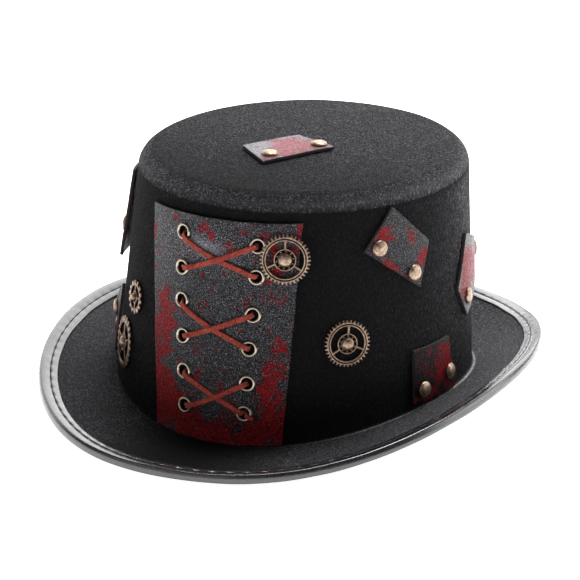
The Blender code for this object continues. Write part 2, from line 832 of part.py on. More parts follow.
def main():
    for obj in list(bpy.data.objects):
        bpy.data.objects.remove(obj)
    hat = make_collection("steampunk_hat")
    cutters = make_collection("cutters")
    materials = {name: make_material(name) for name in FINISHES}
    build_felt_body(hat, materials["black_felt"])
    build_brim_binding(hat, materials["black_binding"])
    build_laced_panel(hat, cutters, materials["distressed_leather"])
    build_eyelets(hat, materials["pale_brass"])
    build_laces(hat, materials["rust_suede"])
    build_patches(hat, materials["distressed_leather"], materials["antique_bronze"])
    build_gears(hat, cutters, materials["antique_bronze"])


main()
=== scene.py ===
# Steampunk top hat, dressed: felt, bound brim, laced leather, riveted patches and gears.
# Metres, +Z up, the front of the hat at -Y. Angles run round the crown in degrees from +X.

import math

import bpy
import numpy as np
from mathutils import Matrix, Vector


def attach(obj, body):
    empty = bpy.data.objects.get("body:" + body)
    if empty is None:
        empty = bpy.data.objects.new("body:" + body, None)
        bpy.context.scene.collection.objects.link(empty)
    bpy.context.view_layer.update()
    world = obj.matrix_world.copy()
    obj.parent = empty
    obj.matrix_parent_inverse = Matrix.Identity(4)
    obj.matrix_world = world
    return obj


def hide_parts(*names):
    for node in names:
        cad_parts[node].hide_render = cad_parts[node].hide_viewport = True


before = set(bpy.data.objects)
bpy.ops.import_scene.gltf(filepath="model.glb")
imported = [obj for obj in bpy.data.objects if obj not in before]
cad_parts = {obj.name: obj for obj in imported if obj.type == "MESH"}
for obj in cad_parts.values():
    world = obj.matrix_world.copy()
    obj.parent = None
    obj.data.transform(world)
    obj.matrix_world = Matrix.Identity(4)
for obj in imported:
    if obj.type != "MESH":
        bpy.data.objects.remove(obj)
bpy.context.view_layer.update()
scene = bpy.context.scene

# Camera and light

camera = {
    "azimuth": 23.3,
    "elevation": 19.3,
    "roll": -1.1,
    "distance": 1.5077,
    "lens": 183.3,
    "sensor": 36.0,
    "aside": -0.003376,        # what it looks at lies this far to the right of the hat's middle
    "lookHeight": 0.0496,
}


def setCamera():
    azimuth, elevation, roll = (math.radians(camera[key]) for key in ("azimuth", "elevation", "roll"))
    back = Vector((
        math.sin(azimuth) * math.cos(elevation),
        -math.cos(azimuth) * math.cos(elevation),
        math.sin(elevation),
    ))
    right = Vector((math.cos(azimuth), math.sin(azimuth), 0))
    up = back.cross(right)
    target = right * camera["aside"] + Vector((0, 0, camera["lookHeight"]))
    data = bpy.data.cameras.new("photo_camera")
    data.lens = camera["lens"]
    data.sensor_width = camera["sensor"]
    data.clip_start = 0.05
    obj = bpy.data.objects.new("photo_camera", data)
    scene.collection.objects.link(obj)
    across = right * math.cos(roll) - up * math.sin(roll)
    upward = right * math.sin(roll) + up * math.cos(roll)
    turned = Matrix((across, upward, back)).transposed().to_4x4()
    turned.translation = target + back * camera["distance"]
    obj.matrix_world = turned
    scene.camera = obj


# Soft panels: where each hangs, its size and its power. All face the crown.
lights = {
    "above_behind": {"at": (0.05, 0.50, 1.25), "size": (1.0, 0.5), "power": 25.0},
    "behind": {"at": (-0.25, 1.28, 0.62), "size": (2.2, 0.8), "power": 19.0},
    "beside_left": {"at": (-1.20, 0.35, 0.45), "size": (0.8, 0.7), "power": 3.2},
    "beside_right": {"at": (1.15, 0.75, 0.45), "size": (1.0, 0.8), "power": 8.0},
    "front": {"at": (-0.5, -1.45, 0.70), "size": (2.2, 1.1), "power": 4.2},
}
surroundings = {
    "colour": (1.0, 1.0, 1.0),
    "strength": 0.07,
    "floorSize": 12.0,
    "floorColour": (0.93, 0.93, 0.93),
    "floorGlow": 0.97,         # so that the floor stays white and nearly shadowless
}


def setLights():
    for name, light in lights.items():
        data = bpy.data.lights.new(name, "AREA")
        data.shape = "RECTANGLE"
        data.size, data.size_y = light["size"]
        data.energy = light["power"]
        obj = bpy.data.objects.new(name, data)
        scene.collection.objects.link(obj)
        obj.location = light["at"]
        aim = Vector((0, 0, camera["lookHeight"])) - obj.location
        obj.rotation_euler = aim.to_track_quat("-Z", "Y").to_euler()
        obj.visible_camera = False
    studio = bpy.data.worlds.new("white_studio")
    studio.use_nodes = True
    background = studio.node_tree.nodes["Background"]
    background.inputs["Color"].default_value = (*surroundings["colour"], 1)
    background.inputs["Strength"].default_value = surroundings["strength"]
    scene.world = studio
    scene.view_settings.view_transform = "Standard"


# Node helpers. An input may be a number, a colour or another node's output.

def addNode(tree, kind, inputs=None, **settings):
    made = tree.nodes.new(kind)
    for key, value in settings.items():
        setattr(made, key, value)
    for socket, value in (inputs or {}).items():
        if isinstance(value, bpy.types.NodeSocket):
            tree.links.new(value, made.inputs[socket])
        elif isinstance(value, tuple) and len(value) == 3 and made.inputs[socket].type == "RGBA":
            made.inputs[socket].default_value = (*value, 1)
        else:
            made.inputs[socket].default_value = value
    return made


def noise(tree, place, scale, detail=2.0, rough=0.5):
    inputs = {"Vector": place, "Scale": scale, "Detail": detail, "Roughness": rough}
    return addNode(tree, "ShaderNodeTexNoise", inputs).outputs["Fac"]


# Streaks: noise whose coordinates are turned and stretched, so that it reads as short fibres.
def fibres(tree, place, stretch, turn):
    angles = tuple(math.radians(value) for value in turn)
    inputs = {"Vector": place, "Rotation": angles, "Scale": stretch}
    turned = addNode(tree, "ShaderNodeMapping", inputs).outputs["Vector"]
    return noise(tree, turned, 1.0, 2.0, 0.6)


def maths(tree, operation, first, second=0.0, clamp=False):
    made = addNode(tree, "ShaderNodeMath", {0: first, 1: second}, operation=operation, use_clamp=clamp)
    return made.outputs[0]


def mixed(tree, share, first, second):
    inputs = {0: share, 6: first, 7: second}
    return addNode(tree, "ShaderNodeMix", inputs, data_type="RGBA").outputs[2]


# A smooth step from nought to one between two values of its source.
def between(tree, source, low, high):
    inputs = {"Value": source, "From Min": low, "From Max": high}
    return addNode(tree, "ShaderNodeMapRange", inputs, interpolation_type="SMOOTHSTEP").outputs[0]


# A linear remap, held inside its ends.
def ranged(tree, source, low, high, toLow, toHigh):
    inputs = {"Value": source, "From Min": low, "From Max": high, "To Min": toLow, "To Max": toHigh}
    return addNode(tree, "ShaderNodeMapRange", inputs).outputs[0]


def bumped(tree, height, strength, distance):
    inputs = {"Height": height, "Strength": strength, "Distance": distance}
    return addNode(tree, "ShaderNodeBump", inputs).outputs["Normal"]


def attribute(tree, name):
    return addNode(tree, "ShaderNodeAttribute", attribute_name=name).outputs["Fac"]


def newFinish(name, colour, rough, metal=0.0, **settings):
    material = bpy.data.materials.new(name)
    material.use_nodes = True
    tree = material.node_tree
    shader = tree.nodes["Principled BSDF"]
    shader.inputs["Base Color"].default_value = (*colour, 1)
    shader.inputs["Roughness"].default_value = rough
    shader.inputs["Metallic"].default_value = metal
    for socket, value in settings.items():
        shader.inputs[socket.replace("_", " ")].default_value = value
    material.diffuse_color = (*colour, 1)
    place = addNode(tree, "ShaderNodeTexCoord").outputs["Object"]
    return material, tree, shader, place


def feed(tree, shader, **outputs):
    for socket, output in outputs.items():
        tree.links.new(output, shader.inputs[socket.replace("_", " ")])


# Grid and mesh helpers

def unit(vectors):
    return vectors / np.linalg.norm(vectors, axis=-1, keepdims=True)


def spread(x, y, z):
    return np.stack(np.broadcast_arrays(x, y, z), axis=-1).astype(float)


# From one array towards another.
def lerp(start, end, share):
    return start + (end - start) * share


# A quadratic curve: start (1-t)^2 + control 2t(1-t) + end t^2.
def bezier(start, control, end, share):
    rest = 1 - share
    return start * rest ** 2 + control * 2 * rest * share + end * share ** 2


# A smooth field between about -1 and 1: twice the mean of twelve sine waves of about one
# wavelength that run in seeded directions.
def wobble(points, wavelength, seed):
    draw = np.random.default_rng(seed)
    waves = unit(draw.normal(size=(12, 3))) * 2 * np.pi / wavelength
    waves *= draw.uniform(0.6, 1.4, (12, 1))
    return 2 * np.sin(points @ waves.T + draw.uniform(0, 2 * np.pi, 12)).mean(axis=-1)


# Quads between the neighbours of a grid that is stored row by row.
def gridQuads(rows, columns, wrapRows=False, wrapColumns=False):
    row = np.arange(rows if wrapRows else rows - 1)[:, None]
    column = np.arange(columns if wrapColumns else columns - 1)[None, :]
    above = (row + 1) % rows
    beside = (column + 1) % columns
    corners = (
        row * columns + column,
        row * columns + beside,
        above * columns + beside,
        above * columns + column,
    )
    return np.stack(np.broadcast_arrays(*corners), axis=-1).reshape(-1, 4)


# Rings one after another, with the first and the last drawn together to a pole.
def closedRings(rings, firstPole=None, lastPole=None):
    rows, columns = rings.shape[:2]
    firstPole = rings[0].mean(axis=0) if firstPole is None else firstPole
    lastPole = rings[-1].mean(axis=0) if lastPole is None else lastPole
    points = np.concatenate([rings.reshape(-1, 3), [firstPole, lastPole]])
    here = np.arange(columns)
    beside = (here + 1) % columns
    last = (rows - 1) * columns
    first = np.stack([np.full(columns, rows * columns), beside, here], axis=-1)
    final = np.stack([np.full(columns, rows * columns + 1), last + here, last + beside], axis=-1)
    return outward(points, gridQuads(rows, columns, wrapColumns=True), np.concatenate([first, final]))


# A grid that closes on itself both ways, like a tyre.
def closedLoops(rings):
    rows, columns = rings.shape[:2]
    return outward(rings.reshape(-1, 3), gridQuads(rows, columns, True, True), np.zeros((0, 3), int))


# The signed volume is a sixth of the sum of first . (second x third) over all triangles; where it
# is negative every face is turned round.
def outward(points, quads, triangles):
    corners = np.concatenate([quads[:, [0, 1, 2]], quads[:, [0, 2, 3]], triangles])
    first, second, third = (points[corners[:, i]] for i in range(3))
    volume = np.einsum("ij,ij->i", first, np.cross(second, third)).sum() / 6
    if volume < 0:
        return points, quads[:, ::-1], triangles[:, ::-1]
    return points, quads, triangles


# Several closed shapes as one: the faces of each count on from the points before it.
def joined(shapes):
    starts = np.cumsum([0] + [len(shape[0]) for shape in shapes])
    points = np.concatenate([shape[0] for shape in shapes])
    quads = np.concatenate([shape[1] + start for shape, start in zip(shapes, starts)])
    triangles = np.concatenate([shape[2] + start for shape, start in zip(shapes, starts)])
    return points, quads, triangles


def newPiece(name, shape, finish, slot, nodes=(), **attributes):
    points, quads, triangles = shape
    mesh = bpy.data.meshes.new(name)
    mesh.from_pydata(points.tolist(), [], quads.tolist() + triangles.tolist())
    mesh.shade_smooth()
    mesh.materials.append(finish)
    for key, values in attributes.items():
        layer = mesh.attributes.new(key, "FLOAT", "POINT")
        layer.data.foreach_set("value", np.asarray(values, np.float32).ravel())
    obj = bpy.data.objects.new(name, mesh)
    scene.collection.objects.link(obj)
    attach(obj, "root")
    if nodes:
        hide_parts(*nodes)
    return obj


# The crown's surface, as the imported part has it

crown = {
    "halfWidth": 0.0905,
    "halfLength": 0.0996,
    "height": 0.126,
    "taperWidth": 0.0084,
    "taperLength": 0.0076,
    "lean": 0.0068,
    "tipRadius": 0.010,
    "tipDome": 0.002,
    "thickness": 0.0022,
    "creaseFillet": 0.0015,
    "creaseRise": 0.0127,
    "creaseSettle": 0.00026,
}
gap = 0.00025                  # between pieces that touch
wallTop = crown["height"] - crown["tipRadius"]


# An ellipse that shrinks and leans back up the wall: x = a cos t, y = b sin t + shift.
def wallPoint(angle, height, off=0.0):
    share = height / wallTop
    turn = np.radians(angle)
    halfWidth = crown["halfWidth"] - crown["taperWidth"] * share
    halfLength = crown["halfLength"] - crown["taperLength"] * share
    point = spread(halfWidth * np.cos(turn), halfLength * np.sin(turn) + crown["lean"] * share, height)
    return point + np.asarray(off, float)[..., None] * wallNormal(angle, height)


# The direction round the ellipse crossed with the direction up the wall.
def wallNormal(angle, height):
    share = height / wallTop
    turn = np.radians(angle)
    halfWidth = crown["halfWidth"] - crown["taperWidth"] * share
    halfLength = crown["halfLength"] - crown["taperLength"] * share
    around = spread(-halfWidth * np.sin(turn), halfLength * np.cos(turn), 0.0)
    upward = spread(
        -crown["taperWidth"] * np.cos(turn),
        -crown["taperLength"] * np.sin(turn) + crown["lean"],
        wallTop,
    )
    return unit(np.cross(around, upward))


# Origin, level, upward and outward axes of a place on the wall.
def wallFrame(angle, height):
    normal = wallNormal(angle, height)
    level = unit(np.cross([0.0, 0.0, 1.0], normal))
    return wallPoint(angle, height), level, np.cross(normal, level), normal


def tipSize():
    halfWidth = crown["halfWidth"] - crown["taperWidth"]
    halfLength = crown["halfLength"] - crown["taperLength"]
    return halfWidth, halfLength, halfWidth - crown["tipRadius"], halfLength - crown["tipRadius"]


# The tip is a shallow dome: z = height + dome (1 - share squared).
def tipPoint(across, along, off=0.0):
    halfWidth, halfLength, flatWidth, flatLength = tipSize()
    x = across * halfWidth
    y = along * halfLength
    share = (x / flatWidth) ** 2 + (y / flatLength) ** 2
    dome = crown["tipDome"]
    normal = unit(spread(2 * dome * x / flatWidth ** 2, 2 * dome * y / flatLength ** 2, 1.0))
    point = spread(x, y + crown["lean"], crown["height"] + dome * (1 - share))
    return point + np.asarray(off, float)[..., None] * normal


def creaseHeight(angle):
    sideways = np.cos(np.radians(angle)) ** 2
    return crown["thickness"] - crown["creaseSettle"] + crown["creaseRise"] * sideways


brim = {
    "halfWidth": 0.1215,
    "halfLength": 0.1603,
    "squareness": 2.02,
    "frontHeight": 0.0095,
    "sideHeight": 0.0264,
    "frontSlope": 5.7,
    "sideSlope": 23.4,
    "curlPower": 1.36,
}
binding = {
    "width": 0.0095,
    "thickness": 0.0008,
    "rounding": 0.0009,
    "around": 720,
    "stitchInset": 0.0037,     # from the strip's inner edge
    "stitchPitch": 0.0086,
    "threadRadius": 0.00020,
    "holeRadius": 0.00085,
    "groove": 0.00030,         # how deep the stitches pull the strip in
    "pucker": 0.00015,
    "puff": 0.00034,           # how far the leg swells between its seam and the rim
    "swell": 0.00012,
    "waver": 0.00022,          # of the strip's cut edge
}


def signedPower(value, power):
    return np.sign(value) * np.abs(value) ** power


# The bound edge: a nearly true ellipse that rises at the sides, with the outward and upward
# directions of the curled brim there.
def brimSection(angle):
    turn = np.radians(angle)
    cosine = np.cos(turn)
    sine = np.sin(turn)
    curl = (cosine ** 2) ** brim["curlPower"]
    power = 2 / brim["squareness"]
    edge = spread(
        brim["halfWidth"] * signedPower(cosine, power),
        brim["halfLength"] * signedPower(sine, power),
        brim["frontHeight"] * sine ** 2 + brim["sideHeight"] * curl,
    )
    plan = unit(spread(
        signedPower(cosine, 2 - power) / brim["halfWidth"],
        signedPower(sine, 2 - power) / brim["halfLength"],
        0.0,
    ))
    slope = np.radians(brim["frontSlope"] + (brim["sideSlope"] - brim["frontSlope"]) * curl)[..., None]
    up = np.array([0.0, 0.0, 1.0])
    return edge, plan * np.cos(slope) + up * np.sin(slope), up * np.cos(slope) - plan * np.sin(slope)


def feltEdgePoint(angle, inset):
    edge, outer, upward = brimSection(angle)
    return edge - outer * inset + upward * crown["thickness"] / 2


# Felt

felt = {
    "around": 360,
    "tipRows": 30,
    "cornerRows": 12,
    "wallRows": 44,
    "creaseRows": 8,
    "brimRows": 36,
    "dent": 0.00022,           # depth of the hand-shaped unevenness
    "dentSize": 0.045,
    "creaseRidge": 0.00022,    # the pressed line along the crease
    "creaseWidth": 0.00062,
    "colour": (0.0035, 0.0035, 0.0040),
    # pale fibres, also the colour of the painted light on the felt
    "paleFibreAndLight": (0.360, 0.345, 0.372),
    # painted highlight along the crease
    "creaseHighlight": (0.75, 0.75, 0.77),
    "sheen": (0.0, 0.22),      # between the fibres and on them
    # how much pale nap and painted light lies on each region: most at the corner's lower edge, where the light from
    # above catches it, least on the wall, which lies in shade
    "nap": {"tip": 0.95, "corner": 1.8, "edge": 4.1, "wall": 0.30},
    "sidePaintedLight": 1.0,            # painted light high on the right of the wall, where the light falls
    # painted light on the brim: little in front, which the crown shades, much on both sides, where the light falls
    "brimPaintedLight": {"front": 0.10, "left": 4.0, "right": 4.0},
    "tipPaintedLightSlope": 6.2,           # how much more painted light lies at the back of the tip, per metre, where the light from behind falls
}


def feltFinish():
    material, tree, shader, place = newFinish(
        "black_wool_felt", felt["colour"], 0.95, Sheen_Roughness=0.45, Specular_IOR_Level=0.06,
    )
    shader.inputs["Sheen Tint"].default_value = (0.85, 0.85, 0.9, 1)
    fine = noise(tree, place, 1700, 3.0, 0.7)
    lying = fibres(tree, place, (1500, 430, 540), (10, 25, 35))
    crossing = fibres(tree, place, (460, 1500, 540), (-20, 15, 10))
    standing = fibres(tree, place, (1500, 1500, 500), (30, -20, 0))
    hair = maths(tree, "MAXIMUM", maths(tree, "MAXIMUM", lying, crossing), standing)
    nap = maths(tree, "ADD", maths(tree, "MULTIPLY", fine, 0.40), maths(tree, "MULTIPLY", hair, 0.60))
    # The nap attribute is mostly painted light: it lets the pale curls show and sets a painted glow and the sheen
    # where the light falls.
    paintedLightShare = attribute(tree, "nap")
    cloudy = noise(tree, place, 45, 4.0, 0.55)
    speckle = between(tree, nap, 0.54, 0.67)
    curls = maths(tree, "MULTIPLY", speckle, ranged(tree, cloudy, 0.35, 0.65, 0.23, 0.42))
    curls = maths(tree, "MULTIPLY", curls, maths(tree, "POWER", maths(tree, "MINIMUM", paintedLightShare, 1.0), 2.0))
    # pale curls of fibre plus a painted glow that grows with the nap attribute
    curlsAndPaintedLight = maths(tree, "ADD", curls, maths(tree, "MULTIPLY", paintedLightShare, 0.03), clamp=True)
    wool = mixed(tree, curlsAndPaintedLight, felt["colour"], felt["paleFibreAndLight"])
    broken = ranged(tree, noise(tree, place, 700, 3.0, 0.6), 0.35, 0.6, 0.35, 1.0)
    # painted highlight along the pressed line of the crease, broken up by noise
    pressed = maths(tree, "MULTIPLY", attribute(tree, "crease"), broken, clamp=True)
    colour = mixed(tree, pressed, wool, felt["creaseHighlight"])
    glint = ranged(tree, nap, 0.50, 0.64, *felt["sheen"])
    glint = maths(tree, "MULTIPLY", glint, maths(tree, "MINIMUM", paintedLightShare, 1.0))
    feed(tree, shader, Base_Color=colour, Sheen_Weight=glint, Normal=bumped(tree, nap, 0.9, 0.0012))
    return material


# Rows run from the middle of the tip out and down to the brim's edge: dome, quarter-round corner,
# straight wall, crease fillet and the brim's curve. The inside is the same surface moved in by the
# felt's thickness along its normals.
def makeFelt():
    angle = np.arange(felt["around"]) * 360.0 / felt["around"]
    turn = np.radians(angle)[None, :]
    _, _, flatWidth, flatLength = tipSize()
    share = np.linspace(0, 1, felt["tipRows"] + 1)[1:, None]
    tip = spread(
        share * flatWidth * np.cos(turn),
        share * flatLength * np.sin(turn) + crown["lean"],
        crown["height"] + crown["tipDome"] * (1 - share ** 2),
    )
    swing = np.radians(np.linspace(90, 0, felt["cornerRows"] + 1))[1:, None]
    reach = crown["tipRadius"] * np.cos(swing)
    corner = spread(
        (flatWidth + reach) * np.cos(turn),
        (flatLength + reach) * np.sin(turn) + crown["lean"],
        wallTop + crown["tipRadius"] * np.sin(swing),
    )
    crease = wallPoint(angle, creaseHeight(angle))
    start = wallPoint(angle, creaseHeight(angle) + crown["creaseFillet"])
    wall = lerp(corner[-1], start, np.linspace(0, 1, felt["wallRows"] + 1)[1:, None, None])
    underBinding = feltEdgePoint(angle, binding["width"] * 1.15)
    outer = brimSection(angle)[1]
    width = np.linalg.norm(underBinding - crease, axis=-1, keepdims=True)
    control = underBinding - outer * width * 0.5
    leave = crease + unit(control - crease) * crown["creaseFillet"]
    steps = np.linspace(0, 1, felt["creaseRows"] + 1)[1:, None, None]
    fillet = bezier(start, crease, leave, steps)
    steps = np.linspace(0, 1, felt["brimRows"] + 1)[1:, None, None]
    flat = bezier(leave, control, underBinding, steps)
    edge = feltEdgePoint(angle, binding["thickness"] + gap)
    under = lerp(underBinding, edge, np.linspace(0, 1, 6)[1:, None, None])
    rows = np.concatenate([tip, corner, wall, fillet, flat, under])

    down = np.gradient(rows, axis=0)
    around = np.roll(rows, -1, axis=1) - np.roll(rows, 1, axis=1)
    normal = unit(np.cross(down, around))
    walked = np.cumsum(np.linalg.norm(np.diff(rows, axis=0, prepend=rows[:1]), axis=-1), axis=0)
    atCrease = felt["tipRows"] + felt["cornerRows"] + felt["wallRows"] + felt["creaseRows"] - 1
    pressed = np.exp(-((walked - walked[atCrease]) / felt["creaseWidth"]) ** 2)
    dent = (wobble(rows, felt["dentSize"], 3) * 0.5 + 0.5) * felt["dent"]
    rows = rows + normal * (pressed * felt["creaseRidge"] - dent)[..., None]
    inside = (rows - normal * crown["thickness"])[::-2]
    # the painted highlight along the crease is strongest on the wearer's left, where the light falls, and faint in
    # front
    strong = 0.03 + 0.97 * np.exp(-(((angle + 5 + 180) % 360 - 180) / 38) ** 2)
    light = np.concatenate([pressed * strong, np.zeros(inside.shape[:2])])
    # The nap attribute is mostly painted light: bright on the tip, the corner and the brim's sides, where the light
    # falls, dark on the wall and on the front of the brim, which lie in shade.
    cornerEnd = felt["tipRows"] + felt["cornerRows"]
    wallEnd = cornerEnd + felt["wallRows"]
    row = np.arange(len(rows))[:, None]
    turns = felt["tipRows"] + np.array([1, 4, 7, 10])
    onCrown = np.interp(row, turns, list(felt["nap"].values()))
    onSide = np.exp(-(((angle - 18 + 180) % 360 - 180) / 24) ** 2)
    onSide = onSide * np.interp(row, [cornerEnd - 2, cornerEnd, wallEnd], [0, 1, 0])
    onTip = np.interp(row, [felt["tipRows"], cornerEnd], [1, 0])
    onCrown = onCrown * (1 + felt["tipPaintedLightSlope"] * rows[..., 1] * onTip) + felt["sidePaintedLight"] * onSide
    side = np.cos(np.radians(angle))[None, :]
    onBrim = felt["brimPaintedLight"]["front"] * (1 - side ** 2)
    onBrim = onBrim + np.where(side > 0, felt["brimPaintedLight"]["right"], felt["brimPaintedLight"]["left"]) * side ** 2
    nap = lerp(onCrown, onBrim, np.interp(row, [wallEnd, wallEnd + felt["creaseRows"]], [0, 1]))
    nap = np.append(np.concatenate([nap, np.full(inside.shape[:2], felt["nap"]["wall"])]), [1, 1])
    middle = np.array([0, crown["lean"], crown["height"] + crown["tipDome"]])
    shape = closedRings(
        np.concatenate([rows, inside]),
        firstPole=middle,
        lastPole=middle - [0, 0, crown["thickness"]],
    )
    newPiece(
        "felt_body_shell", shape, feltFinish(), "black_felt", ["felt_body"],
        crease=np.append(light, [0, 0]), nap=nap,
    )
    print("felt: made")


# Binding and its stitches

patent = {
    "colour": (0.011, 0.011, 0.013),
    "rough": 0.24,
    "thread": (0.004, 0.004, 0.005),
}


def patentFinish():
    material, tree, shader, place = newFinish(
        "glossy_black_strip", patent["colour"], patent["rough"], IOR=1.70, Coat_Weight=0.3,
        Coat_Roughness=0.20,
    )
    grain = noise(tree, place, 900, 4.0, 0.6)
    soft = noise(tree, place, 130, 3.0, 0.5)
    scuffs = between(tree, noise(tree, place, 420, 5.0, 0.7), 0.58, 0.75)
    rough = maths(tree, "ADD", ranged(tree, soft, 0.3, 0.7, 0.21, 0.32), maths(tree, "MULTIPLY", scuffs, 0.16))
    colour = mixed(tree, scuffs, patent["colour"], (0.03, 0.03, 0.034))
    height = maths(tree, "ADD", maths(tree, "MULTIPLY", grain, 0.35), soft)
    feed(tree, shader, Base_Color=colour, Roughness=rough, Normal=bumped(tree, height, 0.12, 0.0006))
    return material


def threadFinish():
    material, tree, shader, place = newFinish("black_thread", patent["thread"], 0.6)
    twist = fibres(tree, place, (3000, 900, 3000), (0, 30, 30))
    colour = mixed(tree, twist, patent["thread"], (0.02, 0.02, 0.022))
    feed(tree, shader, Base_Color=colour, Normal=bumped(tree, twist, 0.6, 0.0002))
    return material


# How far the strip's face stands over the felt's middle at a reach (minus is inwards from the rim)
# and a phase that grows by one each stitch: full over the felt, pinched at its cut edge, pulled into
# a groove at the seam with a deeper pit at each needle hole.
def stripRise(reach, phase, swell):
    full = crown["thickness"] / 2 + gap + binding["thickness"]
    fromCut = reach + binding["width"]
    hole = np.cos(np.pi * phase) ** 12
    seam = np.exp(-((fromCut - binding["stitchInset"]) / 0.00042) ** 2)
    pinch = 0.00025 * np.exp(-(fromCut / 0.0007) ** 2)
    ripple = binding["pucker"] * np.cos(np.pi * phase) ** 2
    ripple = ripple * np.exp(-((fromCut - binding["stitchInset"]) / 0.0022) ** 2)
    puff = binding["puff"] * np.sin(np.pi * np.clip((fromCut - binding["stitchInset"]) / 0.0055, 0, 1))
    return full - pinch - seam * (binding["groove"] + 0.00020 * hole) - ripple * 0.7 + puff + swell


# The slow unevenness of the strip's height at an angle.
def swellAt(angle):
    return binding["swell"] * wobble(brimSection(angle)[0], 0.03, 11)


def makeBinding():
    angle = np.arange(binding["around"]) * 360.0 / binding["around"]
    edge, outer, upward = brimSection(angle)
    steps = np.linalg.norm(np.roll(edge, -1, axis=0) - edge, axis=-1)
    around = np.cumsum(steps) - steps
    stitches = int(round(steps.sum() / binding["stitchPitch"]))
    phase = around / steps.sum() * stitches
    swell = swellAt(angle)
    width = binding["width"] + binding["waver"] * wobble(edge, 0.022, 12)
    inner = crown["thickness"] / 2 + gap

    # one closed loop of (reach, rise) for every angle: top leg, rounded nose, bottom leg, inside
    share = np.linspace(0, 1, 26)
    top = lerp(-width[:, None], -binding["rounding"], share)
    topRise = stripRise(top, phase[:, None], swell[:, None])
    swing = np.radians(np.linspace(90, -90, 13))[1:-1]
    topEnd = topRise[:, -1:]
    nose = np.broadcast_to(-binding["rounding"] * (1 - np.cos(swing)), (len(angle), len(swing)))
    noseRise = topEnd * np.sin(swing)
    bottom = top[:, ::-1]
    bottomRise = -stripRise(bottom, phase[:, None] + 0.5, swell[:, None])
    bottomRise = bottomRise * (topEnd / -bottomRise[:, :1])
    linerReach = np.stack([-width, -width * 0.5, np.full(len(angle), -binding["thickness"])], axis=-1)
    linerReach = np.concatenate([linerReach, linerReach[:, ::-1]], axis=1)
    linerRise = np.concatenate([np.full((len(angle), 3), -inner), np.full((len(angle), 3), inner)], axis=1)
    reach = np.concatenate([top, nose, bottom, linerReach], axis=1)[..., None]
    rise = np.concatenate([topRise, noseRise, bottomRise, linerRise], axis=1)[..., None]
    strip = edge[:, None] + outer[:, None] * reach + upward[:, None] * rise
    newPiece("brim_binding_strip", closedLoops(strip), patentFinish(), "black_binding", ["brim_binding"])

    # each stitch is a flat black diamond in its needle hole and a thin thread to the next one
    number = np.arange(stitches)[:, None]
    local = np.array([-0.09, 0.0, 0.09, 0.3, 0.5, 0.7, 0.91])
    thread, hole = binding["threadRadius"], binding["holeRadius"]
    half = np.array([0.1, 1.0, 0, 0, 0, 0, 0]) * hole + np.array([0, 0, 1, 1, 1, 1, 0.8]) * thread
    shapes = []
    for side, start in ((1.0, 0.0), (-1.0, 0.5)):
        at = number + local + start
        where = np.interp(at % stitches, np.append(phase, stitches), np.append(angle, 360.0))
        edge, outer, upward = brimSection(where)
        bow = 0.00016 * np.sin(np.pi * np.clip(local, 0, 1)) + 0.00010
        reach = -binding["width"] + binding["stitchInset"]
        base = stripRise(np.full(at.shape, reach), at - start, 0.0) + swellAt(where)
        middle = edge + outer * reach + (upward * ((base + bow) * side)[..., None])
        turn = np.radians(np.arange(6) * 60.0)
        wide = outer[:, :, None] * (half[:, None] * np.cos(turn))[..., None]
        high = upward[:, :, None] * (thread * np.sin(turn))[:, None]
        rings = middle[:, :, None] + wide + high
        shapes += [closedRings(stitch) for stitch in rings]
    newPiece("brim_binding_stitches", joined(shapes), threadFinish(), "black_binding")
    print("binding: made with", stitches, "stitches above and below")


# Leather

leather = {
    "grey": (0.022, 0.022, 0.026),
    "greyDark": (0.003, 0.003, 0.004),
    "greyPale": (0.36, 0.36, 0.40),
    "crimson": (0.340, 0.012, 0.016),
    "crimsonDark": (0.035, 0.002, 0.003),
    "crimsonPale": (0.46, 0.035, 0.045),
    # painted highlight on the crimson
    "crimsonHighlight": (0.75, 0.38, 0.44),
    "cutEdge": (0.012, 0.010, 0.011),
    "rough": 0.38,
    "edgeWaver": 0.00022,
    "bevel": 0.00028,
}
